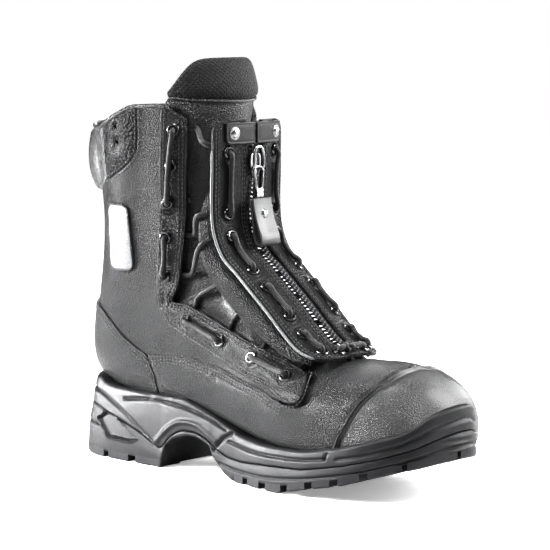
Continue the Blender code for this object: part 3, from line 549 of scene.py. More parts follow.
class Look:
    """A Principled material under construction, with short helpers for its nodes."""

    def __init__(self, name, colour, roughness, metallic=0.0):
        self.material = bpy.data.materials.new(name)
        self.material.use_nodes = True
        self.nodes, self.links = self.material.node_tree.nodes, self.material.node_tree.links
        self.shader = self.nodes["Principled BSDF"]
        self.set("Base Color", (*colour, 1))
        self.set("Roughness", roughness)
        self.set("Metallic", metallic)
        self.place = self.node("TexCoord").outputs["Object"]

    def set(self, socket, value):
        self.shader.inputs[socket].default_value = value

    def link(self, output, target):
        self.links.new(output, target)

    def node(self, kind, **inputs):
        node = self.nodes.new("ShaderNode" + kind)
        for socket, value in inputs.items():
            node.inputs[socket].default_value = value
        return node

    def noise(self, scale, detail=3.0, roughness=.55, stretch=None):
        node = self.node("TexNoise", Scale=scale, Detail=detail, Roughness=roughness)
        self.link(self.stretched(stretch), node.inputs["Vector"])
        return node.outputs["Fac"]

    def stretched(self, stretch, source=None):
        source = source or self.place
        if not stretch:
            return source
        node = self.node("Mapping", Scale=stretch)
        self.link(source, node.inputs["Vector"])
        return node.outputs["Vector"]

    def cells(self, scale, feature="F1", output="Distance", stretch=None, source=None):
        node = self.node("TexVoronoi", Scale=scale)
        node.feature = feature
        self.link(self.stretched(stretch, source), node.inputs["Vector"])
        return node.outputs[output]

    def wave(self, scale, direction, source=None, stretch=None):
        node = self.node("TexWave", Scale=scale)
        node.bands_direction = direction
        self.link(self.stretched(stretch, source), node.inputs["Vector"])
        return node.outputs["Fac"]

    def maths(self, operation, a, b):
        node = self.node("Math")
        node.operation = operation
        for socket, value in zip(node.inputs, (a, b)):
            if isinstance(value, (int, float)):
                socket.default_value = value
            else:
                self.link(value, socket)
        return node.outputs[0]

    def ranged(self, value, low, high, to_low, to_high):
        node = self.node("MapRange")
        for socket, number in zip(list(node.inputs)[1:5], (low, high, to_low, to_high)):
            socket.default_value = number
        self.link(value, node.inputs[0])
        return node.outputs[0]

    def tint(self, value, dark, light):
        node = self.node("Mix")
        node.data_type = "RGBA"
        self.link(value, node.inputs[0])
        node.inputs[6].default_value = (*dark, 1)
        node.inputs[7].default_value = (*light, 1)
        self.link(node.outputs[2], self.shader.inputs["Base Color"])
        return node

    def roughened(self, value, low, high, to_low, to_high):
        self.link(self.ranged(value, low, high, to_low, to_high), self.shader.inputs["Roughness"])

    def relief(self, value, depth, strength=1.0):
        """Adds bump of a depth in metres to the bump so far."""
        node = self.node("Bump", Strength=strength, Distance=depth)
        self.link(value, node.inputs["Height"])
        old = self.shader.inputs["Normal"].links
        if old:
            self.link(old[0].from_socket, node.inputs["Normal"])
        self.link(node.outputs["Normal"], self.shader.inputs["Normal"])

    def lighten_edges(self, mix, amount):
        """Lightens convex edges of leather and rubber."""
        edge = self.ranged(self.node("NewGeometry").outputs["Pointiness"], .5, .62, 0, amount)
        factor = mix.inputs[0]
        self.link(self.maths("ADD", factor.links[0].from_socket, edge), factor)


def leather(name, dark, light, roughness, grain, depth, tumbled=0.0, shine=.5):
    look = Look(name, dark, roughness)
    large = look.noise(38, 3)
    fine = look.noise(grain * 1.6, 2, .6)
    pores = look.cells(grain)
    mix = look.tint(look.ranged(large, .3, .75, 0, .8), dark, light)
    look.lighten_edges(mix, .6)
    blend = look.maths("ADD", look.maths("MULTIPLY", large, .35),
                       look.maths("MULTIPLY", fine, .65))
    look.roughened(blend, .35, .68, roughness - .09, roughness + .13)
    look.relief(look.noise(14, 3), .0016, .35)
    look.relief(look.maths("ADD", pores, look.maths("MULTIPLY", fine, .8)), depth)
    if tumbled:
        look.relief(look.cells(620, "SMOOTH_F1"), tumbled)
    look.set("Specular IOR Level", shine)
    look.set("Coat Weight", shine / 4)
    look.set("Coat Roughness", .28)
    return look.material


def rubber(name, dark, light, roughness):
    look = Look(name, dark, roughness)
    mix = look.tint(look.ranged(look.noise(60, 4), .3, .7, 0, .7), dark, light)
    look.lighten_edges(mix, .5)
    look.roughened(look.noise(420, 2), .3, .7, roughness - .06, roughness + .1)
    look.relief(look.noise(1500, 2, .6), .00012)
    look.relief(look.noise(30, 2), .0006, .25)
    look.set("Specular IOR Level", .3)
    return look.material


def metal(name, dark, light, roughness):
    look = Look(name, dark, roughness, 1)
    look.tint(look.ranged(look.noise(160, 3), .35, .7, 0, 1), dark, light)
    brushed = look.noise(400, 2, stretch=(1, 1, 4))
    look.roughened(brushed, .3, .7, roughness - .03, roughness + .04)
    look.relief(look.noise(900, 2), .00002)
    return look.material


def cloth(name, dark, light, scale, depth, roughness=.85):
    """Plain weave from two crossed waves."""
    look = Look(name, dark, roughness)
    weave = look.maths("MULTIPLY", look.wave(scale, "Y"), look.wave(scale, "Z"))
    look.tint(weave, dark, light)
    look.relief(weave, depth)
    look.roughened(look.noise(500, 2), .3, .7, roughness - .05, roughness + .08)
    look.set("Sheen Weight", .35)
    look.set("Sheen Roughness", .5)
    return look.material


def spacer_mesh(name):
    """Perforated mesh fabric: round holes in offset rows, laid out in the piece's own UV map."""
    look = Look(name, (.02, .02, .02), .85)
    turn = look.node("Mapping", Rotation=(0, 0, math.radians(45)))
    look.link(look.node("TexCoord").outputs["UV"], turn.inputs["Vector"])
    cell = look.node("TexVoronoi", Scale=1, Randomness=0)
    cell.voronoi_dimensions = "2D"
    look.link(turn.outputs["Vector"], cell.inputs["Vector"])
    # The holes are painted near black, ten times darker than the fabric round them: painted shade
    # inside the holes.
    rim = look.ranged(cell.outputs["Distance"], .2, .34, 0, 1)
    look.tint(rim, (.0006, .0006, .0006), (.006, .006, .0063))
    look.set("Specular IOR Level", .3)
    look.relief(rim, .0009)
    look.relief(look.noise(1500, 2), .00025)
    look.roughened(look.noise(600, 2), .3, .7, .6, .85)
    look.set("Sheen Weight", .1)
    return look.material


def braided(name):
    """Lace cord. Its strands are in the cord's geometry; this gives one even colour and gloss."""
    look = Look(name, (.012, .012, .012), .6)
    uv = look.node("TexCoord").outputs["UV"]
    one = look.wave(1.6, "DIAGONAL", uv, (1, 5, 1))
    other = look.wave(1.6, "DIAGONAL", uv, (1, -5, 1))
    strands = look.maths("MAXIMUM", one, other)
    look.tint(look.ranged(strands, .2, 1, 0, 1), (.004, .004, .004), (.045, .045, .047))
    look.relief(strands, .0004)
    look.roughened(look.noise(900, 2), .3, .7, .5, .72)
    look.set("Sheen Weight", .25)
    return look.material


def reflective(name):
    """Retroreflective film: pale grey with a fine cell pattern."""
    look = Look(name, (.25, .25, .25), .42)
    cells = look.cells(1150)
    look.tint(look.ranged(cells, .1, .6, 0, 1), (.19, .193, .196), (.11, .113, .116))
    look.relief(cells, .00012)
    look.roughened(look.noise(400, 2), .3, .7, .3, .5)
    look.set("Metallic", .25)
    return look.material


LEATHER = leather("fine_grain_leather", (.006, .006, .0065), (.012, .012, .013), .34, 1050, .0010,
                  shine=.42)
TOE_LEATHER = leather("toe_leather", (.009, .009, .0095), (.018, .018, .019), .33, 1100, .0005,
                      shine=.7)
PANEL_LEATHER = leather("panel_leather", (.003, .003, .0033), (.008, .008, .0085), .42, 950,
                        .0006, shine=.26)
TUMBLED = leather("tumbled_leather", (.004, .004, .0045), (.006, .006, .007), .42, 700, .0003,
                  .0014, shine=.16)
TONGUE_LEATHER = leather("tongue_leather", (.007, .007, .0075), (.015, .015, .016), .34, 900,
                         .0007, shine=.65)
WING_LEATHER = leather("wing_leather", (.004, .004, .0045), (.011, .011, .0115), .42, 1000, .0011,
                       shine=.3)
STRAP_LEATHER = leather("strap_leather", (.007, .007, .0075), (.013, .013, .0135), .42, 1300,
                        .00014, shine=.3)
# The pull tab is the strap's leather painted about six times lighter: a painted highlight for the
# light from the right.
TAB_LEATHER_PAINTED_HIGHLIGHT = leather("tab_leather_painted_highlight", (.045, .045, .046), (.07, .07, .072), .42, 1300, .00014)
OUTSOLE = rubber("outsole_rubber", (.010, .010, .011), (.020, .020, .022), .50)
MIDSOLE = rubber("midsole_rubber", (.012, .012, .013), (.024, .024, .026), .46)
STEEL = metal("bright_steel", (.24, .24, .245), (.32, .32, .325), .3)
DARK_STEEL = metal("dark_steel", (.09, .09, .093), (.13, .13, .135), .27)
TOOTH_STEEL = metal("zip_steel", (.05, .05, .053), (.085, .085, .09), .34)
TAPE = cloth("zip_tape", (.012, .012, .0125), (.04, .04, .042), 420, .00025, .8)
TEXTILE = cloth("lining_textile", (.010, .010, .0105), (.03, .03, .032), 300, .0004)
MESH = spacer_mesh("perforated_mesh")
CORD = braided("woven_lace")
THREAD = cloth("thread", (.02, .02, .02), (.10, .10, .103), 900, .0001, .45)
REFLECT = reflective("reflective_film")
FOAM = rubber("foam", (.09, .09, .1), (.12, .12, .13), .9)
COMPOSITE = rubber("pale_composite", (.5, .48, .4), (.62, .6, .52), .6)
BOARD = cloth("insole_board", (.2, .19, .17), (.3, .28, .25), 350, .0002)


# ---------------------------------------------------------------- camera and lights

CAMERA_TARGET = (160, 0, 140)                # millimetres
CAMERA_AZIMUTH, CAMERA_ELEVATION = math.radians(41.59), math.radians(6.38)
CAMERA_DISTANCE = 1.676                      # metres
SENSOR_WIDTH, LENS, CAMERA_SHIFT = 36, 159.6, (.0027, -.0066)

# Softboxes, in metres and watts: place, aim, size, power and spread in degrees. "left" draws the
# highlight on the vamp, "low_left" the one on the heel and "far_side" the one on the toe's edge.
SOFTBOXES = {
    "top": ((.06, -.05, 1.2), (.06, 0, .08), (.4, .35), 17, 180),
    "left": ((-.6, -.85, .6), (.06, -.03, .02), (.4, .25), 3.4, 60),
    "low_left": ((-.85, -.45, .16), (-.06, -.03, .095), (.3, .2), 1.7, 40),
    "high_left": ((-.1, -1.05, .95), (.07, 0, .03), (.6, .3), 2.4, 70),
    "right": ((.95, .95, .8), (.05, 0, .12), (.4, 1.1), 62, 180),
    "far_side": ((.1, 1.1, .35), (.13, .02, .05), (.5, .3), .9, 60),
    "rear": ((-.9, .8, .8), (-.05, 0, .12), (.5, .7), 9, 180),
}
ROOM_STRENGTH, WHITE_STRENGTH = .05, 1.0     # what the boot sees, and what the camera sees
DISPLAY_GAMMA = .74                          # under 1 deepens the dark leather
FLOOR_HALF = 12                              # metres


def camera():
    data = bpy.data.cameras.new("camera")
    obj = shown("camera", data)
    flat = math.cos(CAMERA_ELEVATION)
    offset = Vector((math.sin(CAMERA_AZIMUTH) * flat, -math.cos(CAMERA_AZIMUTH) * flat,
                     math.sin(CAMERA_ELEVATION)))
    obj.location = Vector(place(CAMERA_TARGET)[0]) + CAMERA_DISTANCE * offset
    obj.rotation_euler = (-offset).to_track_quat("-Z", "Y").to_euler()
    data.sensor_width, data.lens = SENSOR_WIDTH, LENS
    data.shift_x, data.shift_y = CAMERA_SHIFT
    data.clip_start, data.clip_end = .05, 40
    bpy.context.scene.camera = obj


def area_light(name, place_at, aim, size, power, spread):
    data = bpy.data.lights.new(name, "AREA")
    data.spread = math.radians(spread)
    data.shape = "RECTANGLE"
    data.size, data.size_y = size
    data.energy = power
    obj = shown(name, data)
    obj.location = place_at
    obj.rotation_euler = (Vector(aim) - Vector(place_at)).to_track_quat("-Z", "Y").to_euler()


def studio():
    """White surroundings for the camera, and softboxes in a darker room for the boot."""
    world = bpy.data.worlds.new("studio")
    bpy.context.scene.world = world
    world.use_nodes = True
    nodes, links = world.node_tree.nodes, world.node_tree.links
    room, bright = nodes["Background"], nodes.new("ShaderNodeBackground")
    for node, strength in ((room, ROOM_STRENGTH), (bright, WHITE_STRENGTH)):
        node.inputs["Color"].default_value = (1, 1, 1, 1)
        node.inputs["Strength"].default_value = strength
    mix, path = nodes.new("ShaderNodeMixShader"), nodes.new("ShaderNodeLightPath")
    links.new(path.outputs["Is Camera Ray"], mix.inputs[0])
    links.new(room.outputs[0], mix.inputs[1])
    links.new(bright.outputs[0], mix.inputs[2])
    links.new(mix.outputs[0], nodes["World Output"].inputs["Surface"])
    bpy.context.scene.view_settings.view_transform = "Standard"
    bpy.context.scene.view_settings.gamma = DISPLAY_GAMMA
    for name, values in SOFTBOXES.items():
        area_light(name, *values)
    floor = bpy.data.meshes.new("floor")
    corners = ((-1, -1), (1, -1), (1, 1), (-1, 1))
    floor.from_pydata([(x * FLOOR_HALF, y * FLOOR_HALF, 0) for x, y in corners], [],
                      [(0, 1, 2, 3)])
    look = Look("floor", (.8, .8, .8), .8)
    look.tint(look.noise(3, 2), (.78, .78, .78), (.82, .82, .82))
    away = look.node("VectorMath")
    away.operation = "LENGTH"
    look.link(look.place, away.inputs[0])
    glow = look.ranged(away.outputs["Value"], .3, 2.2, .42, .97)
    seen = look.node("LightPath").outputs["Is Camera Ray"]
    look.set("Emission Color", (1, 1, 1, 1))
    look.link(look.maths("MULTIPLY", glow, seen), look.shader.inputs["Emission Strength"])
    floor.materials.append(look.material)
    obj = shown("floor", floor)


camera()
studio()


# ---------------------------------------------------------------- upper leathers

PSI_MM, STATION_MM = 45.0, 23.0              # chart scales that keep triangles about even
SIDES = ((-1, "lateral"), (1, "medial"))


def side_chart(side):
    return lambda p: side_surface(p, side)


def front_chart(p):
    """Chart opened out from the instep line; its u is the angle from that line."""
    psi, t = p[:, 0] / PSI_MM, p[:, 1] / STATION_MM
    phi = np.where(psi >= 0, math.pi - psi, -math.pi - psi)
    return skin_point(t, phi), skin_normal(t, phi)


def back_chart(p):
    """Chart opened out from the sole or back line."""
    phi, t = p[:, 0] / PSI_MM, p[:, 1] / STATION_MM
    return skin_point(t, phi), skin_normal(t, phi)


def to_front(xz, side):
    """Side-view points in the front chart; to_back does the same in the back chart."""
    t, phi = on_skin(xz, side)
    return np.stack([side * (math.pi - np.abs(phi)) * PSI_MM, t * STATION_MM], 1)


def to_back(xz, side):
    t, phi = on_skin(xz, side)
    return np.stack([phi * PSI_MM, t * STATION_MM], 1)


def both_sides(to_chart, xz):
    """A line in side view laid out in a chart, on the outer and on the inner side."""
    return to_chart(xz, -1), to_chart(xz, 1)


def lower_edge(start, end, step=3.0):
    """The upper's lower edge from one X to another."""
    table = np.array(UPPER_EDGE, float)
    count = max(2, int(abs(end - start) / step))
    x = np.linspace(start, end, count)
    return np.stack([x, np.interp(x, table[:, 0], table[:, 1])], 1)


def vamp_folds(p):
    """Soft creases where the vamp bends behind the toe cap."""
    x, y = p[:, 0], p[:, 1]
    across = np.exp(-(y / 34) ** 2)
    wave = .55 * np.sin((x + .10 * y) / 4.6 + .6) + .45 * np.sin((x - .16 * y) / 7.4)
    return across * wave * smooth(x, 232, 238) * (1 - smooth(x, 250, 262)) * .45


def vamp():
    def top(d, p):
        edge = rolled(d, OVERLAY, 1.0, VAMP_ROWS, .35)
        under_toe = smooth(p[:, 0], 262, 270) * smooth(p[:, 2], 40, 60)
        return edge + vamp_folds(p) - .25 * under_toe

    line = joined(curve(HEEL_SEAM_LOW[:2]), curve(HEEL_SEAM_LOW[1:]), curve(VAMP_SEAM),
                  curve(VAMP_THROAT))
    forward = curve([(x + 5, z) for x, z in TOE_SEAM])[::-1]
    (left, right), (toe_left, toe_right), (low_left, low_right) = (
        both_sides(to_front, edge) for edge in (line, forward, lower_edge(257, 81)))
    outline = joined(left, right[::-1], low_right[::-1], toe_right[::-1], toe_left, low_left)
    obj = leaf("vamp_leather", outline, front_chart, LEATHER, top, -1.2,
               rings=(.35, .9, 1.6, 2.4, 3.4, 4.6, 5.6, 6.6, 7.6), spacing=3.0)
    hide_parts("vamp")


def toe_overlay():
    ridge, gap = (.9, 2.9), .55

    def top(d, p):
        lines = (sum(bump(d, r, gap) for r in ridge) - .5 * bump(d, 1.9, .45)
                 - .5 * bump(d, 4.0, .6))
        return rolled(d, TOP_OVERLAY, .8) + np.where(p[:, 2] > 34, .85, 0.0) * lines

    seam = curve(TOE_SEAM, 1.2)
    left, right = both_sides(to_front, seam)
    low_left, low_right = both_sides(to_front, lower_edge(252, 309, 2.0))
    widest = abs(low_right[-1, 0])
    pole = np.stack([np.linspace(widest, -widest, 40), np.full(40, .22 * STATION_MM)], 1)
    outline = joined(left, right[::-1], low_right, pole, low_left[::-1])
    obj = leaf("toe_overlay_leather", outline, front_chart, TOE_LEATHER, top, -.5,
               rings=(.3, .6, .9, 1.3, 1.9, 2.4, 2.9, 3.5, 4.2, 5.2), spacing=3.0,
               slot="toe_overlay_leather")
    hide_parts("toe_overlay")


def heel_overlay():
    def top(d, p):
        return rolled(d, TOP_OVERLAY, 1.0, SEAM_ROWS, .4)

    line = joined(curve(HEEL_SEAM_LOW[:2]), curve(HEEL_SEAM_LOW[1:]), curve(HEEL_SEAM_HIGH[:-1]),
                  [(1, 112.5)])
    left, right = both_sides(to_back, line)
    low_left, low_right = both_sides(to_back, lower_edge(81, 2))
    outline = joined(left, right[::-1], low_right, low_left[::-1])
    obj = leaf("heel_overlay_leather", outline, back_chart, LEATHER, top, -.5,
               rings=(.35, .9, 1.6, 2.4, 3.4, 4.6, 5.6), spacing=3.0)
    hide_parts("heel_overlay")


def quarter(side, word):
    def top(d, p):
        ankle = bump(p[:, 0], 60, 26) * bump(p[:, 2], 118, 20)
        shaft = bump(p[:, 2], 196, 14) * np.sin(p[:, 0] / 17) * .35
        return rolled(d, 0, .7) + .9 * ankle * np.sin(p[:, 2] / 9.5) * .35 + shaft

    under_vamp = shifted(curve(VAMP_SEAM[:-1]), -4)
    under_heel = shifted(curve(HEEL_SEAM_HIGH[:-1]), 4)[::-1]
    line = joined(under_heel, under_vamp[2:], shifted(curve(FACING_BACK), -4)[2:],
                  [(97, 252.6), (88, 252.4), (79, 251.8)], curve(COLLAR_PATCH_EDGE)[1:],
                  curve(BACK_COLLAR_EDGE[:-1]), [(4, 184.8)])
    line = to_back(line, side)
    middle = np.linspace(line[-1, 1], line[0, 1], 32)
    outline = joined(line, np.stack([np.full(32, side * BACK_SEAM), middle], 1))
    obj = leaf("quarter_leather_" + word, outline, back_chart, LEATHER, top, -1.4,
               spacing=2.8)
    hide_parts("quarter_" + word)


def facing(side, word):
    def top(d, p):
        x, z = p[:, 0], p[:, 2]
        tip = smooth(x, *TIP_RISE)
        free = rolled(d, OVERLAY + tip, 1.0, FACING_ROWS, .4)
        low, high = FLEX_PATCH
        flex = smooth(z, low, low + 3) * (1 - smooth(z, high - 3, high)) * (x > 80)
        ribs = .35 * np.sin(z * 2 * math.pi / 2.6)
        notch = bump(x, 98, 9) * bump(z, 117, 6)
        return free + flex * (ribs - .5) - 1.4 * notch + .9 * bump(x, 93, 4) * bump(z, 112, 3)

    outline = joined(curve(FACING_TIP), curve(FACING_EDGE[6:])[::-1][1:],
                     curve(FACING_EDGE[:7])[::-1][1:], curve(RIM_FRONT[::-1]) + (0, RIM_TUCK),
                     curve(FACING_BACK[4:])[::-1], curve(FACING_BACK[:5])[::-1])
    holes = [round_hole(p, 3.1) for p in FACING_EYELETS]
    obj = leaf("facing_leather_" + word, outline, side_chart(side), LEATHER, top, -2.0,
               holes=holes, rings=(.35, .8, 1.5, 2.3, 3.2, 4.6, 5.6), spacing=2.6)
    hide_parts("facing_" + word)


def collar_patch(side, word):
    def top(d, p):
        puff = 1.7 * (1 - np.exp(-d / 7))
        return rolled(d, -.4, .8) + puff

    rim = curve(RIM_BACK) + (0, RIM_TUCK)
    outline = joined(curve(COLLAR_PATCH_EDGE), rim)
    holes = [round_hole(p, .9, 12) for p in VENT_HOLES]
    obj = leaf("collar_patch_leather_" + word, outline, side_chart(side), TUMBLED, top, -2.0,
               holes=holes, spacing=2.0, slot="soft_leather")
    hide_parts("collar_patch_" + word)


def collar_bulge(p):
    """Outward swell of the padded roll at the back of the collar."""
    up = np.clip((p[:, 2] - 186) / (237 - 186), 0, 1)
    level = np.sin(math.pi * up ** .8) ** .7 * 14 + 5 * up
    across = np.clip(1 - (np.abs(p[:, 1]) / 33) ** 2.2, 0, 1)
    return np.where(p[:, 0] < 60, level * across, 0)


def back_collar():
    def top(d, p):
        return collar_bulge(p) * smooth(d, 0, 5) + rolled(d, -.2, 1.0)

    line = joined(curve(RIM_REAR[::-1][:-1]) + (0, RIM_TUCK), [(4, 237 + RIM_TUCK)])
    low = joined(curve(BACK_COLLAR_EDGE[:-1]), [(2, 185)])
    rim_outer, rim_inner = both_sides(to_back, line)
    low_outer, low_inner = both_sides(to_back, low)
    outline = joined(low_outer, low_inner[::-1], rim_inner, rim_outer[::-1])
    obj = leaf("back_collar_roll", outline, back_chart, TONGUE_LEATHER, top, -2.0, spacing=2.0,
               slot="soft_leather")
    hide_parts("back_collar")


def rim_line():
    """Route of the rolled binding on top of the collar, from one facing round the back."""
    rim = RIM_REAR[:-1] + RIM_BACK + RIM_FRONT[1:]
    xs, zs = np.array(rim).T
    points = []
    for phi in np.linspace(-2.18, 2.18, 150):
        t = np.linspace(13, 16, 400)
        p = skin_point(t, np.full_like(t, phi))
        k = int(np.argmin(np.abs(p[:, 2] - 1.9 - np.interp(p[:, 0], xs, zs))))
        if p[k, 0] > RIM_FRONT[-1][0] - 1:
            continue
        points.append(p[k] - skin_normal(t[k], phi) * .9)
    line = resampled(np.array(points), 2.0)
    soft = line.copy()
    soft[1:-1] = (line[:-2] + 2 * line[1:-1] + line[2:]) / 4
    return soft


def binding():
    obj = tube("collar_piping", rim_line(), 1.7, TONGUE_LEATHER, sides=14, slot="leather")
    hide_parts("collar_binding")


def lining():
    def top(d, p):
        return np.full(len(d), LINING_DEPTH[0]) - .5 * (1 - np.clip(d / .5, 0, 1))

    rim = [(98, 249), (92, 249.5), (73, 247), (58, 241), (40, 233), (30, 232), (10, 232), (1, 233)]
    rim_l, rim_r = both_sides(to_back, curve(rim))
    front_l, front_r = both_sides(to_back, curve(FACING_BACK)[:-2])
    throat = front_l[0, 1]
    toe = .9 * STATION_MM
    across = math.pi * PSI_MM - .2
    outline = joined(rim_l, rim_r[::-1], front_r[::-1],
                     [(across, throat - 30)],
                     np.stack([np.full(30, across), np.linspace(throat - 34, toe, 30)], 1),
                     np.stack([np.linspace(across, -across, 60), np.full(60, toe)], 1),
                     np.stack([np.full(30, -across), np.linspace(toe, throat - 34, 30)], 1),
                     [(-across, throat - 30)], front_l)
    obj = leaf("textile_lining", outline, back_chart, TEXTILE, top, LINING_DEPTH[1], spacing=5.0,
               rings=(.5, 1.2, 2.5), slot="textile")
    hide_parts("lining")


TONGUE_HALF, TONGUE_TOP, TONGUE_LEAN = 44.0, 262.0, 7.0


def tongue_lean(y, z):
    """How far the free top of the tongue leans forward."""
    across = np.clip(1 - (np.abs(y) / TONGUE_HALF) ** 2, 0, 1) ** .6
    return TONGUE_LEAN * smooth(z, 222, 258) * across


def tongue():
    def top(d, p):
        x, y, z = p.T
        side = smooth(np.abs(y), 24, 44)
        pleats = 1.3 * side * np.sin(z / 7.3 + x / 9) * (1 - smooth(z, 215, 235))
        low = .8 * np.sin(x / 5.2 + np.abs(y) / 7) * (z < 130) * (1 - smooth(x, 205, 225))
        throat = 4.0 * smooth(x, 212, 230)
        return TONGUE_DEPTH[0] + pleats + low + throat + tongue_lean(y, z)

    def under(d, p):
        return TONGUE_DEPTH[1] + 4.0 * smooth(p[:, 0], 212, 230) + tongue_lean(p[:, 1], p[:, 2])

    back = np.array(FACING_BACK, float) + (1.5, 0)
    edge = joined([(250, 84)], [(240, 72)], curve(back), [(98, 255)])
    left, right = both_sides(to_front, edge)
    across = (102, 107, 113, 120, 125)
    arc_l, arc_r = (np.array([to_front([(x, TONGUE_TOP)], side)[0] for x in across])
                    for side in (-1, 1))
    outline = joined(left, arc_l, arc_r[::-1], right[::-1])
    obj = leaf("tongue_leather", outline, front_chart, TONGUE_LEATHER, top, under, spacing=2.8)
    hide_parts("tongue")


PAD_CREST = np.array([(-44, 262), (-41, 267), (-36, 275), (-30, 282), (-25, 285), (-18, 285.8),
                      (22, 285.8), (30, 284), (36, 279), (41, 270), (44, 262)], float)
PAD_MESH_PITCH = 2.3


def tongue_pad():
    """Padded top of the tongue: a flattened roll that wraps round the shin."""
    rows, columns = 44, 110
    u = np.linspace(-1, 1, columns)
    y = 43.5 * np.sin(u * math.pi / 2)
    crest = np.interp(y, PAD_CREST[:, 0], PAD_CREST[:, 1])
    crest = np.convolve(np.pad(crest, 3, mode="edge"), np.ones(7) / 7, "valid")
    base_line = 257 + 2.5 * (y / 43) ** 2
    points, uv = [], []
    for angle in np.linspace(0, 2 * math.pi, rows, endpoint=False):
        share = (1 - math.cos(angle)) / 2
        z = base_line + (crest - base_line) * share
        thick = 4.4 * np.sqrt(np.clip(1 - (2 * share - 1) ** 4, 0, 1)) * np.sqrt(
            np.clip(1 - np.abs(u) ** 6, 0, 1)) + .25
        t, phi = on_tongue(y, z)
        base, normal = skin_point(t, phi), skin_normal(t, phi)
        out = math.sin(angle) / max(abs(math.sin(angle)), 1e-6)
        depth = -6.6 + tongue_lean(y, z) + out * thick
        points.append(base + normal * depth[:, None])
        uv.append(np.stack([y * (1 + .15 * u ** 2), z * out], 1) / PAD_MESH_PITCH)
    points, uv = (np.transpose(np.array(rows_of), (1, 0, 2)) for rows_of in (points, uv))
    faces = grid_faces(columns, rows, True) + end_faces(columns, rows)
    obj = piece("tongue_pad_mesh", points, faces, MESH, slot="textile", uv=uv.reshape(-1, 2))
    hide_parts("tongue_pad")
    y = np.linspace(-42, 42, 90)
    t, phi = on_tongue(y, 256 + 3 * (y / 43) ** 2)
    line = skin_point(t, phi) + skin_normal(t, phi) * (-5.4 + tongue_lean(y, 262.0))[:, None]
    tube("tongue_seam_cord", resampled(line, 1.5), 1.3, TONGUE_LEATHER, sides=12, slot="leather")


def on_tongue(y, z):
    """Skin parameters on the front of the shaft at given Y and Z."""
    y, z = np.broadcast_arrays(np.asarray(y, float), z)
    t, phi = np.full(y.shape, 15.5), np.where(y < 0, -1, 1) * (math.pi - np.abs(y) / 50)
    for _ in range(30):
        p = skin_point(t, phi)
        t = np.clip(t + (z - p[..., 2]) / 15, 12, LAST)
        phi = phi + np.clip((p[..., 1] - y) / 60, -.1, .1)
        phi = np.where(y < 0, np.clip(phi, -math.pi, -1.2), np.clip(phi, 1.2, math.pi))
    return t, phi


def patches():
    """Generic rounded reflective patches with a raised dark border."""
    for side, word in SIDES:
        outline = []
        for cx, cz, start in ((59, 177, 0), (48, 177, 90), (48, 143, 180), (59, 143, 270)):
            a = np.radians(start + np.linspace(0, 90, 9))
            outline.append(np.stack([cx + 6 * np.cos(a), cz + 6 * np.sin(a)], 1))
        closed = evened(joined(*[resampled(arc, 1.2) for arc in outline]), 1.6)
        film = leaf("reflective_film_" + word, closed, side_chart(side), REFLECT,
                    lambda d, p: .95 + .25 * smooth(d, 0, 1), .35, rings=(.4, 1.0, 2.0),
                    slot="reflective")
        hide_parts("reflective_patch_" + word)
        p, n = side_surface(closed, side)
        tube("patch_border_" + word, p + n * .75, .95, TONGUE_LEATHER, sides=8, closed=True,
             slot="leather")


# ---------------------------------------------------------------- stitching

def upper_stitching():
    free = joined(curve(FACING_EDGE[:7]), curve(FACING_EDGE[6:]))[:-2]
    seams = [(curve(line), SEAM_ROWS, TOP_OVERLAY - .1)
             for line in (HEEL_SEAM_LOW[:2], HEEL_SEAM_LOW[1:], HEEL_SEAM_HIGH[:-1])]
    seams += [(curve(VAMP_SEAM), [-row for row in VAMP_ROWS], OVERLAY - .1),
              (free, [-row for row in FACING_ROWS], OVERLAY - .05),
              (curve(FACING_TIP)[::-1], [2.4], OVERLAY + .9),
              (curve(FACING_BACK), [-2.6], OVERLAY - .05),
              (curve(COLLAR_PATCH_EDGE), [-2.0, 1.4], .1)]
    for side, word in SIDES:
        rows = [row for line, offsets, lift in seams
                for row in seam_rows(line, side, offsets, lift)]
        many("stitches_" + word, rows, THREAD, slot="leather")


def main_upper():
    vamp()
    toe_overlay()
    heel_overlay()
    for side, word in SIDES:
        quarter(side, word)
        facing(side, word)
        collar_patch(side, word)
    back_collar()
    binding()
    lining()
    tongue()
    tongue_pad()
    patches()
    upper_stitching()


main_upper()


# ---------------------------------------------------------------- sole

SOLE_OUTLINE = [(-4, 0), (4, -26), (26, -38), (88, -41), (125, -42), (165, -46), (205, -54),
                (245, -56), (280, -48), (305, -26), (316, 6), (314, 26), (298, 44), (262, 54),
                (215, 53), (170, 42), (120, 34), (80, 35), (26, 36), (4, 26)]
SOLE_TOP = [(-6, 58), (5, 57), (19, 56), (23, 53), (40, 51), (96, 51), (111, 51), (131, 45),
            (146, 40), (168, 32), (190, 30), (211, 30), (234, 31), (262, 36), (284, 42),
            (298, 46), (306, 51), (311, 58), (318, 64)]
SOLE_SPLIT = [(-6, 40), (13, 37), (40, 31), (67, 23), (84, 15.5), (91, 13.5), (98, 21.5),
              (103, 25), (111, 29), (126, 29), (136, 26), (146, 20), (157, 16), (173, 15),
              (198, 17), (234, 19), (266, 25), (290, 31), (306, 37), (312, 42), (318, 47)]
SOLE_BOTTOM = [(-6, 4), (0, 2), (8, .8), (23, 0), (90, 0), (91, 3), (93, 10), (96, 17), (103, 22),
               (116, 26), (126, 26), (139, 22), (142, 15), (154, 5), (165, 0), (210, 0),
               (241, 7), (262, 11), (279, 16), (294, 21), (306, 24), (314, 27), (318, 29)]
HEEL_LUGS = [(37, 58), (65, 89.5)]
FRONT_LUGS = [(165, 174.5), (179.5, 192.5), (199.5, 215), (221, 237), (243, 257), (263, 277.5),
              (282.5, 297)]
MIDDLE_LUGS = [(20, 33), (37, 58), (65, 86)] + FRONT_LUGS[:-1]
HEEL_END_LUG, TOE_END_LUG = 32, 302          # where the lugs round the ends start
HEEL_END_REACH, TOE_END_REACH = 17, 15
HEEL_HALF_GAP, TOE_HALF_GAP = 1.6, 1.5       # half the gap between the two lugs at each end
MIDDLE_GAP, SPLIT_HALF_GAP = 3.2, .7         # round the middle lugs, and between their halves
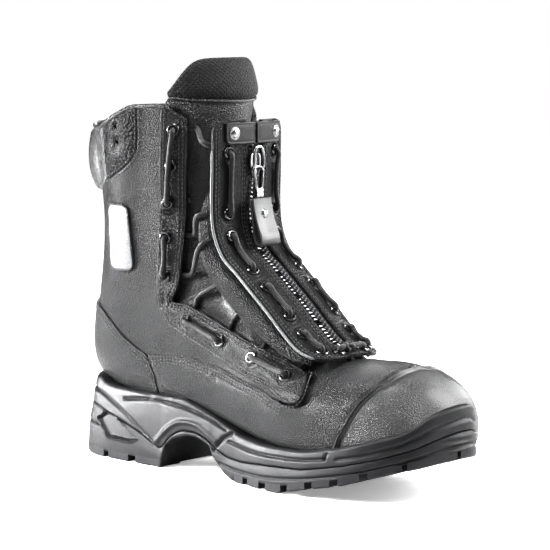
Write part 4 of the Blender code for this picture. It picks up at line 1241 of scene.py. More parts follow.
LUG_DEPTH, LUG_REACH = 4.6, 21.0
ARCH_STUD = [(2.6, 1.5), (2.6, -.6), (1.9, -1.5)]

# Lines of the sole's wall in side view: points, width and depth. A negative depth is a rib.
WALL_LINES = [
    ([(50, 44), (82, 47), (111, 45), (136, 40), (154, 34)], 1.0, 1.7),
    ([(160, 33), (152, 28), (144, 20)], 1.2, 2.2),
    ([(-6, 50), (14, 47), (30, 43), (52, 34), (70, 24), (84, 15.5)], 1.1, 1.6),
    ([(158, 27), (180, 24), (205, 24), (234, 25.5), (252, 28)], 1.0, 1.4),
    ([(252, 28), (254, 32)], 1.0, 1.4),
    ([(262, 29), (280, 33), (292, 37), (300, 40), (307, 45), (313, 50), (319, 56)], 1.1, 1.5),
    ([(150, 11), (168, 8.5), (200, 9), (234, 13), (266, 19), (290, 25), (306, 31), (319, 38)],
     1.0, 1.3),
    ([(86, 18), (96, 27), (104, 32.5), (112, 35), (124, 35), (135, 31.5), (146, 25)], 1.7, -1.6),
    ([(60, 52), (80, 49.5), (100, 49)], 1.0, .8),
    ([(-6, 26), (10, 24), (24, 22)], .9, 1.2),
    ([(-6, 34), (8, 33)], .9, 1.0),
]
HEEL_WINDOW = np.array([(22, 27.5), (32, 33), (42, 30), (66, 17.5), (60, 15), (36, 15.5)], float)


def height(table, x):
    table = np.asarray(table, float)
    return np.interp(x, table[:, 0], table[:, 1])


def level(table, x):
    """Height of a side-view line at x, with its corners softened."""
    return sum(height(table, x + d) for d in (-3, -1.5, 0, 1.5, 3)) / 5


def sole_loop(step=1.5, extra=()):
    """Closed outline of the sole in plan, with its outward normals and the length up to each
    point. Near each X in extra it has a close pair of points, for a sharp step there."""
    ring = np.array(SOLE_OUTLINE, float)
    count = len(ring)
    dense = catmull(np.concatenate([ring[-2:], ring, ring[:3]]), np.linspace(2, count + 2, 4000))
    dense = dense[:-1]
    dense = np.roll(dense, -int(np.argmin(dense[:, 0])), 0)
    closed = ringed(dense)
    run = run_along(closed)
    at = list(np.arange(0, run[-1], step))
    for x in extra:
        crossing = np.nonzero((closed[:-1, 0] < x) != (closed[1:, 0] < x))[0]
        at += [run[k] + d for k in crossing for d in (-.12, .12)]
    at = np.array(sorted(at))
    at = at[np.concatenate([[True], np.diff(at) > .1])]
    p = points_at(at, run, closed)
    along = (points_at((at + 1) % run[-1], run, closed)
             - points_at((at - 1) % run[-1], run, closed))
    normal = units(np.stack([along[:, 1], -along[:, 0]], 1))
    if ((p - p.mean(0)) * normal).sum() < 0:
        normal = -normal
    return p, normal, at


def line_distance(points, line):
    """Distance in the plane from points to a line of segments."""
    line = np.asarray(line, float)
    best = np.full(len(points), 1e9)
    for a, b in zip(line[:-1], line[1:]):
        ab = b - a
        share = np.clip(((points - a) @ ab) / (ab @ ab), 0, 1)
        best = np.minimum(best, np.linalg.norm(points - a - share[:, None] * ab, axis=1))
    return best


def wall_relief(x, z, y):
    """How far the sole's wall stands out at side-view points."""
    points = np.stack([x, z], 1)
    out = np.zeros(len(x))
    for line, width, depth in WALL_LINES:
        out -= depth * np.exp(-(line_distance(points, curve(line, 2)) / width) ** 2)
    edge = line_distance(points, ringed(HEEL_WINDOW))
    window = inside(points, HEEL_WINDOW)
    out += np.where(window, -2.2 * smooth(edge, 0, 1.3), .9 * np.exp(-(edge / 1.1) ** 2))
    for zc in (33, 37.5, 42):
        reach = smooth(x, 300, 309) * bump(y, 8, 15)
        out += 1.0 * reach * bump(z, zc + .1 * (x - 310), 1.1)
    return out


def taper(x, share):
    """How far the sole's wall leans in at a share of its full height."""
    most = 2.2 + 5.2 * (1 - smooth(x, 20, 90)) - .8 * smooth(x, 250, 290)
    return most * share ** 1.7


def wall(name, low, high, rows, look, slot, foot, lip):
    """Block of sole between two side-view heights, with relief on its wall."""
    loop, normal, _ = sole_loop(1.1, extra=(91, 93, 96, 103))
    x, y = loop.T
    z0, z1 = low(x), high(x)
    ground, crown = height(SOLE_BOTTOM, x), level(SOLE_TOP, x)
    share = np.linspace(0, 1, rows)
    rings = []
    for r in share:
        z = z0 + (z1 - z0) * r
        from_low, from_high = z - z0, z1 - z
        inset = foot * (1 - np.clip(from_low / 1.4, 0, 1)) ** 2 - rolled(from_high, 0, lip)
        belly = .5 * math.sin(math.pi * r)
        fade = np.clip(from_low / 1.2, 0, 1) * np.clip(from_high / 1.2, 0, 1)
        out = belly - inset + wall_relief(x, z, y) * fade
        out -= taper(x, np.clip((z - ground) / (crown - ground), 0, 1))
        rings.append(np.concatenate([loop + normal * out[:, None], z[:, None]], 1))
    n = len(loop)
    top = rings[-1].copy()
    top[:, :2] -= normal * 7
    top[:, 2] -= 1.5
    rings.append(top)
    rings.insert(0, np.concatenate([rings[0][:, :2] - normal * 3, rings[0][:, 2:]], 1))
    points = np.concatenate(rings)
    faces = grid_faces(len(rings), n, True)
    for first, ring in ((0, rings[0]), ((len(rings) - 1) * n, rings[-1])):
        flat, tris = filled(ring[:, :2], 7.0)
        z = np.interp(flat[n:, 0], *sorted_line(ring[:, 0], ring[:, 2]))
        index = np.concatenate([np.arange(n) + first, np.arange(len(z)) + len(points)])
        points = np.concatenate([points, np.concatenate([flat[n:], z[:, None]], 1)])
        faces += index[tris].tolist()
    return piece(name, points, faces, look, slot=slot, sharp=50)


def sorted_line(x, z):
    order = np.argsort(x)
    return x[order], z[order]


def filled(outline, spacing):
    """Triangles filling a closed outline in plan, over a coarse grid."""
    low, high = outline.min(0), outline.max(0)
    gx, gy = np.meshgrid(np.arange(low[0], high[0], spacing), np.arange(low[1], high[1], spacing))
    grid = np.stack([gx.ravel(), gy.ravel()], 1)
    grid = grid[inside(grid, outline)]
    near = np.min(np.linalg.norm(grid[:, None] - outline[None, ::3], axis=2), axis=1)
    grid = grid[near > spacing * .7]
    n = len(outline)
    edges = [(i, (i + 1) % n) for i in range(n)]
    return triangulated(np.concatenate([outline, grid]), edges, [outline], 1e-7)


def tread_floor(x):
    """Underside of the outsole between its lugs."""
    flat = 1 - smooth(x, 88, 90) + smooth(x, 163, 166)
    return height(SOLE_BOTTOM, x) + LUG_DEPTH * flat


def block(outer, inner):
    """(points, faces) of a tread lug between an outer and an inner line in plan."""
    columns = len(outer)
    rings = []
    for reach, drop in ((0, LUG_DEPTH + 1.2), (0, LUG_DEPTH * .25), (.5, .55), (1.2, 0)):
        rows = []
        for line, other in ((outer, inner), (inner, outer)):
            rows.append(line + units(other - line, 1e-9) * reach)
        head, tail = rows[0][1] - rows[0][0], rows[0][-2] - rows[0][-1]
        for row in rows:
            row[0] += head / (np.linalg.norm(head) + 1e-9) * reach
            row[-1] += tail / (np.linalg.norm(tail) + 1e-9) * reach
        ring = np.concatenate([rows[0], rows[1][::-1]])
        z = height(SOLE_BOTTOM, ring[:, 0]) + drop
        rings.append(np.concatenate([ring, z[:, None]], 1))
    n = 2 * columns
    faces = grid_faces(len(rings), n, True)
    for first in (0, (len(rings) - 1) * n):
        faces += [(first + i, first + i + 1, first + n - 2 - i, first + n - 1 - i)
                  for i in range(columns - 1)]
    return np.concatenate(rings), faces


def lugs():
    """Tread lugs: a row along the rim, round heel and toe, a middle row, and the arch's studs."""
    loop, normal, run = sole_loop(.8)
    toe = int(np.argmax(loop[:, 0]))
    total = run[-1] + .8
    run_line = np.concatenate([run - run[-1] - .8, run, run + run[-1] + .8])
    both, normals = np.tile(loop, (3, 1)), np.tile(normal, (3, 1))
    parts = []

    def rim_lug(start, end, reach=LUG_REACH):
        at = np.linspace(start, end, max(4, int((end - start) / 3)))
        outer, away = points_at(at, run_line, both), points_at(at, run_line, normals)
        parts.append(block(outer + away * .05, outer - away * reach))

    def position(x, side):
        half = slice(0, toe) if side < 0 else slice(toe, None)
        xs, at = loop[half, 0], run[half]
        order = np.argsort(xs)
        return float(np.interp(x, xs[order], at[order]))

    for side in (-1, 1):
        for a, b in HEEL_LUGS + FRONT_LUGS:
            rim_lug(*sorted((position(a, side), position(b, side))))
    rim_lug(HEEL_HALF_GAP, position(HEEL_END_LUG, -1), HEEL_END_REACH)
    rim_lug(position(HEEL_END_LUG, 1) - total, -HEEL_HALF_GAP, HEEL_END_REACH)
    tip_outer, tip_inner = position(TOE_END_LUG, -1), position(TOE_END_LUG, 1)
    tip = (tip_outer + tip_inner) / 2
    rim_lug(tip_outer, tip - TOE_HALF_GAP, TOE_END_REACH)
    rim_lug(tip + TOE_HALF_GAP, tip_inner, TOE_END_REACH)
    for a, b in MIDDLE_LUGS:
        for shift in (0, .5 * (b - a) + SPLIT_HALF_GAP):
            start = a + shift
            xs = np.linspace(start, start + .5 * (b - a) - SPLIT_HALF_GAP, 4)
            outer, inner = (np.array([half[np.argmin(abs(half[:, 0] - x)), 1] for x in xs])
                            for half in (loop[:toe], loop[toe:]))
            low, high = outer + LUG_REACH + MIDDLE_GAP, inner - LUG_REACH - MIDDLE_GAP
            if (high - low).min() > 4:
                parts.append(block(np.stack([xs, high], 1), np.stack([xs, low], 1)))
    for x in np.arange(106, 138, 8.0):
        for y in (-24, -12, 0, 12, 22):
            z = float(height(SOLE_BOTTOM, x))
            parts.append(turned(ARCH_STUD, (x, y, z), (0, 0, 1), 10))
    many("tread_lugs", parts, OUTSOLE, slot="outsole_rubber")


def sole():
    obj = wall("outsole_block", tread_floor, lambda x: level(SOLE_SPLIT, x) - .15, 30, OUTSOLE,
               "outsole_rubber", .3, .7)
    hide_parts("outsole")
    lugs()
    obj = wall("midsole_block", lambda x: level(SOLE_SPLIT, x) + .15,
               lambda x: level(SOLE_TOP, x) + .3, 34, MIDSOLE, "midsole_rubber", .7, 2.4)
    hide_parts("midsole")


# ---------------------------------------------------------------- zip panel

PANEL_LINE = np.array([(142, 244), (142, 228), (142, 208), (141.5, 188), (143, 170), (150, 155),
                       (162, 145), (176, 133), (190, 121), (203, 109), (215, 99), (227, 93),
                       (236, 89.8)], float)
PANEL_HALF_WIDTH = {-1: 37.0, 1: 34.0}
PANEL_DROP = {-1: 4.0, 1: 6.0}               # how far each side edge bends back
STRIP_EDGE = 8.0                             # inner edge of the leather, from the middle
PANEL_EYELET_ROW, PANEL_HOLE = 24.0, 2.5
PANEL_EYELETS = [22, 64, 79, 108, 124, 152, 168, 188]      # down the panel
TIP_EYELET_UP, TIP_EYELET_ROW = 7.0, 12.8
STRAP_TOP, STRAP_BOTTOM = 1.5, 16.5
SLIDER_DOWN = 31.0                           # the slider's place, down the panel
STRIP_LIFT = .7                              # the panel leather stands this far above its tapes
PANEL_ROWS = (2.0, 4.2)                      # stitch rows, from the panel's edges
PULLER_DROP, HANG_LEAN = 20, .06             # from the ring's pivot to the tab's, and its slope

PANEL_DENSE = catmull(PANEL_LINE, np.linspace(0, len(PANEL_LINE) - 1, 900))
PANEL_RUN = run_along(PANEL_DENSE)
PANEL_END = float(PANEL_RUN[-1])


def panel_frame(s):
    """Point and normal of the panel's middle line in side view, softened along its length."""
    def at(where):
        return np.array([np.interp(where, PANEL_RUN, PANEL_DENSE[:, k]) for k in (0, 1)])

    s = np.asarray(s, float)
    low, high = np.maximum(s - 4, 0), np.minimum(s + 4, PANEL_END)
    tx, tz = at(high) - at(low)
    here = (at(np.maximum(s - 2, 0)) + 2 * at(s) + at(np.minimum(s + 2, PANEL_END))) / 4
    size = np.hypot(tx, tz)
    return here, np.array([-tz, tx]) / size


def panel_point(s, v, h):
    """Point of the zip panel: s down its length, v across it, h out from its face."""
    s, v, h = np.broadcast_arrays(np.asarray(s, float), v, h)
    (x, z), (nx, nz) = panel_frame(s)
    drop = np.where(v < 0, PANEL_DROP[-1], PANEL_DROP[1])
    reach = np.where(v < 0, PANEL_HALF_WIDTH[-1], PANEL_HALF_WIDTH[1])
    rise = h - drop * (v / reach) ** 2
    return np.stack([x + nx * rise, v, z + nz * rise], -1)


def panel_normal(s, v):
    s, v = np.broadcast_arrays(np.asarray(s, float), np.asarray(v, float))
    down = panel_point(s + 1, v, 0) - panel_point(s - 1, v, 0)
    across = panel_point(s, v + .5, 0) - panel_point(s, v - .5, 0)
    return units(np.cross(down, across))


def panel_chart(p):
    """Chart of the panel; its u runs across and its v down."""
    s = np.clip(p[:, 1], 0, PANEL_END)
    return panel_point(s, p[:, 0], 0), panel_normal(s, p[:, 0])


def panel_half_width(s, side):
    left = np.clip((np.asarray(s, float) - (PANEL_END - 24)) / 24, 0, 1)
    return PANEL_HALF_WIDTH[side] * (1 - .24 * left ** 2.2)


def panel_edge(side):
    """Outer edge of one half of the panel, from its rounded top corner to its rounded tip."""
    s = np.concatenate([9 - 9 * np.cos(np.linspace(0, math.pi / 2, 10)),
                        np.arange(11, PANEL_END - 12, 2),
                        PANEL_END - 12 + 12 * np.sin(np.linspace(0, math.pi / 2, 12))])
    corner = 9 - np.sqrt(np.clip(81 - (9 - np.clip(s, 0, 9)) ** 2, 0, 81))
    into = np.clip(s - (PANEL_END - 12), 0, 12)
    tip = 12 - np.sqrt(np.clip(144 - into ** 2, 0, 144))
    return np.stack([side * (panel_half_width(s, side) - corner - tip), s], 1)


def panel_holes(side):
    places = [(s, side * PANEL_EYELET_ROW) for s in PANEL_EYELETS]
    places.append((PANEL_END - TIP_EYELET_UP, side * TIP_EYELET_ROW))
    return places


def zip_panel():
    for side, word in SIDES:
        edge = panel_edge(side)
        inner = np.stack([np.full(90, side * STRIP_EDGE), np.linspace(PANEL_END - .2, 0, 90)], 1)

        def top(d, p):
            return rolled(d, STRIP_LIFT, 1.0, PANEL_ROWS, .45) + .3 * bump(d, 1.0, .6)

        holes = [round_hole((v, s), PANEL_HOLE, 18) for s, v in panel_holes(side)]
        obj = leaf("panel_leather_" + word, joined(edge, inner), panel_chart, PANEL_LEATHER, top,
                   -2.0, holes=holes, rings=(.35, .9, 1.5, 2.0, 2.8, 4.2, 5.0), spacing=2.4)
        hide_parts("panel_" + word)
        tape(side, word)
        wing(side, word)
    tip = joined([(-7.6, PANEL_END - 9.5), (-3, PANEL_END - 10.5), (3, PANEL_END - 10.5),
                  (7.6, PANEL_END - 9.5), (7.6, PANEL_END), (-7.6, PANEL_END)])
    obj = leaf("panel_tip_leather", evened(tip, 1.2), panel_chart, PANEL_LEATHER,
               lambda d, p: rolled(d, STRIP_LIFT + .3, .9), -2.0, spacing=2.0)
    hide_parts("panel_tip")
    s = np.linspace(20, PANEL_END - 8, 110)
    v = -panel_half_width(s, -1) - 1.1
    ends = np.clip(np.minimum(s - 20, PANEL_END - 8 - s) / 2, .25, 1)
    obj = tube("reflective_piping", panel_point(s, v, .1), 1.0 * ends, REFLECT, sides=12,
               slot="reflective")
    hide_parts("panel_piping")


def tape(side, word):
    """Woven tape of one half of the zip, with the cord that the teeth are sewn to."""
    s = np.arange(1, PANEL_END - 9, 1.2)
    v = side * np.linspace(2.5, 17, 16)
    ss, vv = np.meshgrid(s, v, indexing="ij")
    cord = .5 * bump(np.abs(vv), 5.6, .6) - .3 * smooth(np.abs(vv), 7, 10)
    obj = sheet_piece("woven_tape_" + word, panel_point(ss, vv, -1.6 + cord),
                      panel_point(ss, vv, -2.8), TAPE, "textile")
    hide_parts("zip_tape_" + word)


def sheet_piece(name, upper, lower, look, slot, body="boot"):
    """Closed sheet from two grids of points, one on each face."""
    rows, columns = upper.shape[:2]
    count = rows * columns
    faces = grid_faces(rows, columns)
    faces += [tuple(reversed(f)) for f in grid_faces(rows, columns, first=count)]
    border = list(range(columns)) + [r * columns + columns - 1 for r in range(1, rows)]
    border += [(rows - 1) * columns + c for c in range(columns - 2, -1, -1)]
    border += [r * columns for r in range(rows - 2, 0, -1)]
    faces += [(a, b, b + count, a + count) for a, b in zip(border, border[1:] + border[:1])]
    points = np.concatenate([upper.reshape(-1, 3), lower.reshape(-1, 3)])
    return piece(name, points, faces, look, body, slot)


def wing(side, word):
    """Soft leather fold behind each edge of the panel, reaching back to the tongue."""
    s = np.arange(50, PANEL_END - 10, 1.8)
    share = np.linspace(0, 1, 18)
    ss, kk = np.meshgrid(s, share, indexing="ij")
    run = (ss - s[0]) / (s[-1] - s[0])
    reach = 1.5 + 8.0 * np.sin(math.pi * run) ** .8
    depth = 3 + 11 * np.sin(math.pi * np.clip(run * 1.05, 0, 1)) ** .6
    fold = .7 * np.sin(ss / 8.5 + kk * 2.5) * np.sin(math.pi * kk)
    v = side * (PANEL_HALF_WIDTH[side] - 4 + (reach + 2) * np.sin(kk * math.pi / 2) ** .8)
    v = v * panel_half_width(ss, side) / PANEL_HALF_WIDTH[side]
    h = -2.5 - depth * kk ** 1.3 + fold
    upper = panel_point(ss, v, 0)
    normal = panel_normal(ss, np.clip(v, -36, 36))
    upper = upper + normal * h[..., None]
    lower = upper - normal * 1.3 + np.array([0, -side * .9, 0])
    sheet_piece("panel_wing_" + word, upper, lower, WING_LEATHER, "leather")


TOOTH_PITCH = 3.1


def zip_teeth():
    """Two rows of thick coil elements that lean towards each other like a herringbone."""
    parts, sides = [], 8
    radii = np.array([.4, .72, .82, .84, .8, .66, .4])[:, None]
    faces = grid_faces(len(radii), sides, True) + end_faces(len(radii), sides)
    for s in np.arange(9, PANEL_END - 15, TOOTH_PITCH):
        for side in (-1, 1):
            at = s + (0 if side < 0 else TOOTH_PITCH / 2)
            line = np.array([(side * 4.7, at - 1.9, -1.5), (side * 3.2, at - 1.3, -.3),
                             (side * 1.2, at - .3, .15), (-side * .3, at + .5, -.5)])
            dense = catmull(line, np.linspace(0, 3, len(radii)))
            points = panel_point(dense[:, 1], dense[:, 0], dense[:, 2])
            parts.append((rings_round(points, radii, sides).reshape(-1, 3), faces))
    obj = many("zip_coils", parts, TOOTH_STEEL, slot="dark_metal")
    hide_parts("zip_teeth")
    s = np.linspace(PANEL_END - 14, PANEL_END - 10.8, 6)
    v = np.linspace(-3.2, 3.2, 12)
    ss, vv = np.meshgrid(s, v, indexing="ij")
    crown = .5 * (1 - (vv / 3.4) ** 2) + .3 * (1 - ((ss - s.mean()) / 1.7) ** 2)
    obj = sheet_piece("bottom_stop", panel_point(ss, vv, -.5 + crown), panel_point(ss, vv, -2.6),
                      STEEL, "bright_metal")
    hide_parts("zip_bottom_stop")


def panel_stitching():
    rows = []

    def sew(line, lift):
        p, n = panel_chart(line)
        rows.append(stitch_run(p + n * lift, n))

    def straight(v, end):
        return np.stack([np.full(100, v), np.linspace(18, end, 100)], 1)

    for side, _ in SIDES:
        edge = panel_edge(side)[3:]
        for offset in PANEL_ROWS:
            sew(resampled(shifted(edge, side * offset), 2.0), STRIP_LIFT - .05)
        for offset in PANEL_ROWS:
            sew(straight(side * (STRIP_EDGE + offset), PANEL_END - 10), STRIP_LIFT - .05)
        sew(straight(side * 6.7, PANEL_END - 12), -1.5)
    many("panel_stitches", rows, THREAD, slot="leather")


# ---------------------------------------------------------------- strap and zip hardware

def strap():
    middle = (STRAP_TOP + STRAP_BOTTOM) / 2
    r, a = 4.0, np.linspace(0, math.pi / 2, 8)
    for side, body, name, node, reach in ((-1, "boot", "strap_lateral", "strap_base", 27.5),
                                          (1, "flap", "strap_medial", "strap_flap", 29)):
        outer_low = np.stack([reach - r + r * np.cos(a), STRAP_BOTTOM - r + r * np.sin(a)], 1)
        outer_top = np.stack([reach - 2 + 2 * np.cos(a), STRAP_TOP + 2 - 2 * np.sin(a)], 1)
        outline = joined([(1.0, STRAP_TOP)], outer_top[::-1], outer_low, [(1.0, STRAP_BOTTOM)])
        outline[:, 0] *= side

        def top(d, p):
            return rolled(d, 2.4, .7) - .25 * bump(d, 1.6, .5)

        obj = leaf(name, evened(outline, 1.3), panel_chart, STRAP_LEATHER, top, .75, body=body,
                   spacing=2.2, rings=(.25, .6, 1.1, 1.6, 2.3))
        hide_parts(node)
    dome = [(.02, 3.0), (1.2, 2.95), (2.4, 2.65), (3.3, 2.0), (3.9, 1.2), (4.0, .75), (4.3, .62),
            (4.9, .62), (5.1, .35), (5.1, -.2), (.02, -.2)]
    for name, node, v, body in (("rivet_cap", "strap_rivet", -20.5, "boot"),
                                ("snap_cap", "strap_snap", 23.5, "flap")):
        centre = panel_point(middle, v, 2.25)
        profile = [(r * .88, h * .62) for r, h in dome]
        obj = piece(name, *turned(profile, centre, panel_normal(middle, v), 40), STEEL, body,
                    "bright_metal")
        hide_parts(node)


def flat_chart(origin, across, up, out):
    """Chart of a plane: u goes across, v up, and heights go out."""
    def chart(p):
        points = np.asarray(origin) + p[:, :1] * np.asarray(across) + p[:, 1:] * np.asarray(up)
        return points, np.tile(np.asarray(out, float), (len(p), 1))
    return chart


def mirrored(half):
    half = np.asarray(half, float)
    return np.concatenate([half, half[::-1] * (-1, 1)])


def slider_place():
    top = panel_point(SLIDER_DOWN, 0, 0)
    return float(top[0]), float(top[2])


def zip_hardware():
    x, z = slider_place()
    body_outline = curve([(3.0, -8.4), (3.9, -6), (5.4, -1), (5.6, 4), (4.6, 7), (2.0, 8.1)], .9)
    chart = flat_chart((x - .2, 0, z), (0, 1, 0), (0, 0, 1), (1, 0, 0))
    obj = leaf("slider_body", evened(joined(mirrored(body_outline)), .9), chart, STEEL,
               lambda d, p: rolled(d, 2.0, .7), 0, body="slider", slot="bright_metal",
               rings=(.15, .4, .7, 1.2), spacing=1.3)
    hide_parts("zip_slider")
    loop = curve([(4.7, -3.5), (5.0, 1), (4.8, 6), (3.6, 10.4), (1.4, 12.4)], .9)
    ring = mirrored(loop)
    stand_off = 4.6 - 3.2 * np.clip((-1.5 - ring[:, 1]) / 2, 0, 1)
    line = np.stack([x + stand_off, ring[:, 0], z + ring[:, 1]], 1)
    tube("slider_bridge", line, 1.05, STEEL, sides=14, body="slider", slot="bright_metal")
    px, pz = x + 3.9, z - 2.2
    puller(px, pz)
    pull_tab(px + HANG_LEAN * PULLER_DROP, pz - PULLER_DROP)


def puller(px, pz):
    """Long ring that narrows towards the tab."""
    a = np.linspace(0, math.pi, 16)
    upper = np.stack([4.6 * np.cos(a), 1.9 - 2.75 * np.sin(a)], 1)
    b = np.linspace(0, math.pi, 10)
    lower = np.stack([-3.0 * np.cos(b), 12.6 + 2.6 * np.sin(b)], 1)
    ring = evened(np.concatenate([upper, lower]), .8)
    points = [(px + HANG_LEAN * d, y, pz - d) for y, d in ring]
    obj = tube("puller_ring", points, 1.0, STEEL, sides=12, closed=True, body="puller",
               slot="bright_metal")
    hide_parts("zip_puller")
    corner = curve([(3.0, -2.6), (3.5, -2.1), (3.5, 2.7), (3.0, 3.2)], .8)
    chart = flat_chart((px + .4, 0, pz - 17.6), (0, 1, 0), (-HANG_LEAN, 0, 1), (1, 0, HANG_LEAN))
    leaf("puller_clasp", evened(joined(mirrored(corner)), .8), chart, STEEL,
         lambda d, p: rolled(d, 1.7, .4), 0, body="puller", slot="bright_metal", rings=(.15, .4),
         spacing=1.2)
    x, z = px + HANG_LEAN * PULLER_DROP, pz - PULLER_DROP
    pin = [(x, y, z) for y in (-3.2, -1, 1, 3.2)]
    tube("puller_pin", pin, .85, STEEL, sides=14, body="puller", slot="bright_metal")


TAB_TILT = math.radians(12)
TAB_HALF_WIDTH, TAB_HALF_THICKNESS = 9.4, .85


def pull_tab(x, z):
    """Folded leather strip that hangs from the puller, open in a drop shape at the bottom."""
    down = np.array([math.sin(TAB_TILT), 0, -math.cos(TAB_TILT)])
    out = np.array([math.cos(TAB_TILT), 0, math.sin(TAB_TILT)])
    base = np.array([x, 0, z])
    path = curve([(1.7, 1.25), (1.5, 3.5), (1.35, 8), (1.6, 15), (2.6, 22), (3.9, 27.5),
                  (3.6, 31.8), (1.2, 33.6), (-1.7, 31.6), (-2.6, 27), (-2.0, 21), (-1.5, 14),
                  (-1.35, 8), (-1.5, 3.5), (-1.7, 1.25)], .9)
    along = units(np.gradient(path, axis=0))
    normal = np.stack([along[:, 1], -along[:, 0]], 1)
    half, thick, r = TAB_HALF_WIDTH, TAB_HALF_THICKNESS, .5
    section = np.array([(sy * (half - r) + r * math.cos(t), sh * (thick - r) + r * math.sin(t))
                        for sy, sh, start in ((1, 1, 0), (-1, 1, 90), (-1, -1, 180), (1, -1, 270))
                        for t in np.radians(start) + np.linspace(0, math.pi / 2, 4)])
    rings = []
    for (o, d), (no, nd) in zip(path, normal):
        centre = base + o * out + d * down
        across = no * out + nd * down
        rings.append(centre + section[:, :1] * np.array([0, 1.0, 0]) + section[:, 1:] * across)
    rings = np.array(rings)
    faces = grid_faces(len(rings), len(section), True) + end_faces(len(rings), len(section))
    # The tab's leather is painted lighter than the strap's: painted highlight.
    obj = piece("pull_tab_leather", rings.reshape(-1, 3), faces, TAB_LEATHER_PAINTED_HIGHLIGHT, "tab", "leather")
    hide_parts("pull_tab")
    dome = [(.02, 1.5), (1.4, 1.4), (2.5, 1.05), (3.1, .5), (3.3, 0), (3.3, -.3), (.02, -.3)]
    face = base + down * 12 + out * 2.2
    obj = piece("pull_tab_stud", *turned(dome, face, out, 32), STEEL, "tab", "bright_metal")
    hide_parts("pull_tab_rivet")


# ---------------------------------------------------------------- eyelets and laces

BEND_INSIDE, BEND_OUTSIDE, LACE_DEPTH = 1.8, 2.4, 4.5
LACE_RADIUS, BRAID_DEPTH, BRAID_PITCH, STRANDS = 1.75, .13, 5.2, 4
LACE_STEP, LACE_SIDES = .8, 16
# Eyelets that the lace takes in turn: two of the facing, then two of the panel.
LACE_PAIRS = ((0, 1, 5, 4), (2, 3, 3, 2), (4, 5, 1, 0))
KNOT_V = -4.0                                # where the knot lies across the panel
EYELET = [(2.4, -1.8), (2.35, .4), (2.55, .95), (3.0, 1.35), (3.6, 1.4), (4.2, 1.0), (4.6, .3),
          (4.6, -.1), (3.0, -.1), (3.0, -1.8), (2.4, -1.8)]


def side_point(x, z, side, offset=0.0):
    p, n = side_surface([(x, z)], side)
    return p[0] + n[0] * offset, n[0]


def stand(x):
    """Height of the facing's outside above the skin."""
    return OVERLAY + float(smooth(np.float64(x), *TIP_RISE))


def facing_hole(k, side):
    x, z = FACING_EYELETS[k]
    return side_point(x, z, side, stand(x))


def eyelets():
    for side, word in SIDES:
        parts = [turned(EYELET, *facing_hole(k, side)) for k in range(len(FACING_EYELETS))]
        obj = many("eyelets_" + word, parts, DARK_STEEL, slot="dark_metal")
        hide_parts(*[f"eyelet_{word}_{k}" for k in range(1, len(FACING_EYELETS) + 1)])
        parts = [turned(EYELET, *panel_hole(k, side)) for k in range(len(PANEL_EYELETS) + 1)]
        many("panel_eyelets_" + word, parts, DARK_STEEL, slot="dark_metal")


def unit(vector):
    return vector / np.linalg.norm(vector)


def hole_pass(hole, inner, outer, depth):
    """The lace through a hole, from inside to outside, bending towards two points."""
    centre, normal = hole
    towards = [unit(p - centre - normal * np.dot(p - centre, normal)) for p in (inner, outer)]

    def bend(sign, start, radius, aim, turn):
        a = math.radians(turn)
        return (centre + sign * normal * (start + radius * math.sin(a))
                + aim * radius * (1 - math.cos(a)))

    return ([bend(-1, depth, BEND_INSIDE, towards[0], turn) for turn in (90, 45, 0)]
            + [bend(1, .7, BEND_OUTSIDE, towards[1], turn) for turn in (0, 45, 90)])


def under_facing(number, side):
    """The lace under a facing, from its eyelet to just past the free edge."""
    x, z = FACING_EYELETS[number]
    dx, dz = (.3, .95) if number < 4 else (1, .1)
    reach = {0: (3.5, 6.5, 9, 10.8), 7: (6, 12), 8: (6, 12)}.get(number, (7, 13, 18))
    return [side_point(x + dx * d, z + dz * d, side, -LACE_DEPTH)[0] for d in reach]


def facing_run(numbers, side):
    """The lace over a facing, from its first eyelet to its last."""
    (x0, z0), (x1, z1) = FACING_EYELETS[numbers[0]], FACING_EYELETS[numbers[-1]]
    shares = (.3, .7) if len(numbers) == 2 else (.15, .38, .62, .85)
    return [side_point(x0 + (x1 - x0) * f, z0 + (z1 - z0) * f, side,
                       2.2 + stand(x0 + (x1 - x0) * f))[0] for f in shares]


def panel_hole(k, side):
    s, v = panel_holes(side)[k]
    return panel_point(s, v, STRIP_LIFT), panel_normal(s, v)


def panel_pair(low, high, arriving, leaving, side):
    """The lace out of one eyelet of the panel, along its face and into the next."""
    run = [panel_point(PANEL_EYELETS[low] + (PANEL_EYELETS[high] - PANEL_EYELETS[low]) * f,
                       side * PANEL_EYELET_ROW, 2.2 + STRIP_LIFT) for f in (.3, .7)]
    a, b = panel_hole(low, side), panel_hole(high, side)
    return hole_pass(a, arriving, b[0], 2.5) + run + hole_pass(b, leaving, a[0], 2.5)[::-1]


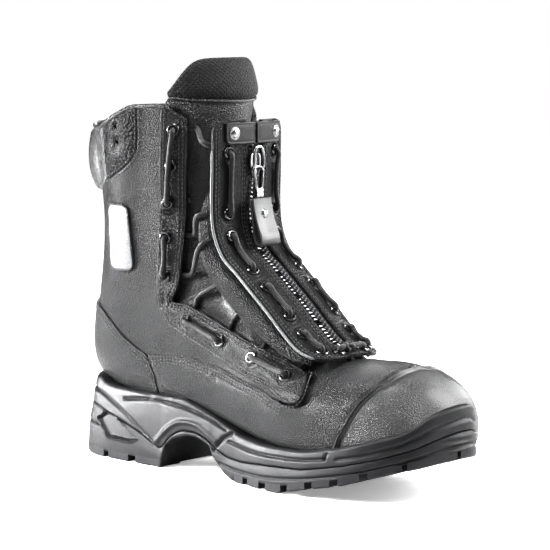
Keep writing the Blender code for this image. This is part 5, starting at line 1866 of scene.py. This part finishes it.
def lace_half(side):
    """Route of one half of the lace, from the middle of the panel's tip to its end."""
    facing = [facing_hole(k, side) for k in range(len(FACING_EYELETS))]
    middle = panel_point(PANEL_END - TIP_EYELET_UP, 0, 3.4)
    under_edge = {k: panel_point(PANEL_EYELETS[k], side * 40, -10) for k in range(8)}
    under_edge[0] = panel_point(15, side * 37, -9)
    depth = LACE_DEPTH - BEND_INSIDE
    route = [middle]
    tip = panel_hole(8, side)
    route += hole_pass(tip, panel_hole(7, side)[0], middle, 2.5)[::-1]
    route += panel_pair(7, 6, tip[0], facing[0][0], side)
    for low, high, start, end in LACE_PAIRS:
        if low == 4:
            route.append(under_edge[start + 1])
        way_in, way_out = under_facing(low, side), under_facing(high, side)
        depth_in, depth_out = (depth + stand(FACING_EYELETS[k][0]) for k in (low, high))
        route += way_in[::-1]
        route += hole_pass(facing[low], way_in[0], facing[high][0], depth_in)
        route += facing_run([low, high], side)
        route += hole_pass(facing[high], way_out[0], facing[low][0], depth_out)[::-1]
        route += way_out
        if low == 4:
            route.append(under_edge[start])
        beyond = facing[high + 1][0] if high < 5 else facing[8][0]
        route += panel_pair(start, end, way_out[-1], beyond, side)
    route.append(under_edge[0])
    way_in = under_facing(8, side)
    route += way_in[::-1]
    route += hole_pass(facing[8], way_in[0], facing[7][0], depth + OVERLAY)
    route += facing_run([8, 7, 6], side)
    way_out = under_facing(6, side)
    route += hole_pass(facing[6], way_out[0], facing[7][0], depth + OVERLAY)[::-1]
    return route + way_out[:2]


def smooth_route(route, count):
    """Points of a cubic curve through a route, timed by the root of its gaps."""
    gaps = np.linalg.norm(np.diff(route, axis=0), axis=1)
    knots = np.concatenate([[0], np.cumsum(gaps ** .5)])
    at = np.linspace(0, knots[-1], count)
    tangent = np.gradient(route, knots, axis=0)
    k = np.clip(np.searchsorted(knots, at, "right") - 1, 0, len(route) - 2)
    span = (knots[k + 1] - knots[k])[:, None]
    f = (at - knots[k])[:, None] / span
    return ((2 * f ** 3 - 3 * f ** 2 + 1) * route[k]
            + (f ** 3 - 2 * f ** 2 + f) * span * tangent[k]
            + (-2 * f ** 3 + 3 * f ** 2) * route[k + 1]
            + (f ** 3 - f ** 2) * span * tangent[k + 1])


def lace():
    """The lace as a braided cord with its knot; returns its length."""
    route = np.array(lace_half(-1)[::-1] + lace_half(1)[1:])
    line = resampled(smooth_route(route, 9000), LACE_STEP)
    angle = np.arange(LACE_SIDES)[None, :] * 2 * math.pi / LACE_SIDES
    twist = 2 * math.pi * (np.arange(len(line))[:, None] * LACE_STEP) / BRAID_PITCH
    relief = np.maximum(np.cos(STRANDS * angle + twist), np.cos(STRANDS * angle - twist))
    obj = tube("woven_lace", line, LACE_RADIUS + BRAID_DEPTH * relief, CORD, sides=LACE_SIDES,
               slot="lace")
    a = np.linspace(0, 2 * math.pi, 120, endpoint=False)
    knot = np.stack([np.sin(a) + 2 * np.sin(2 * a), np.cos(a) - 2 * np.cos(2 * a),
                     -np.sin(3 * a)], 1) * (1.15, 1.0, 1.2)
    points = panel_point(PANEL_END - TIP_EYELET_UP + knot[:, 1], KNOT_V + knot[:, 0],
                         3.6 + knot[:, 2])
    tube("lace_knot", points, 1.45, CORD, sides=12, closed=True, slot="lace")
    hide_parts("lace")
    return float(np.linalg.norm(np.diff(line, axis=0), axis=1).sum())


# ---------------------------------------------------------------- inner pieces and assembly

INNER_LOOKS = {"insole_board": BOARD, "puncture_plate": COMPOSITE, "footbed": TEXTILE,
               "toe_cap": COMPOSITE, "heel_counter": COMPOSITE, "collar_foam": FOAM}


def inner_pieces():
    """Looks for the carried-over CAD nodes, which are hidden inside the boot."""
    for name, look in INNER_LOOKS.items():
        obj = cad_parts[name]
        obj.data.materials.clear()
        obj.data.materials.append(look)


sole()
zip_panel()
zip_teeth()
panel_stitching()
strap()
zip_hardware()
eyelets()
print("lace length, mm:", round(lace()))
inner_pieces()
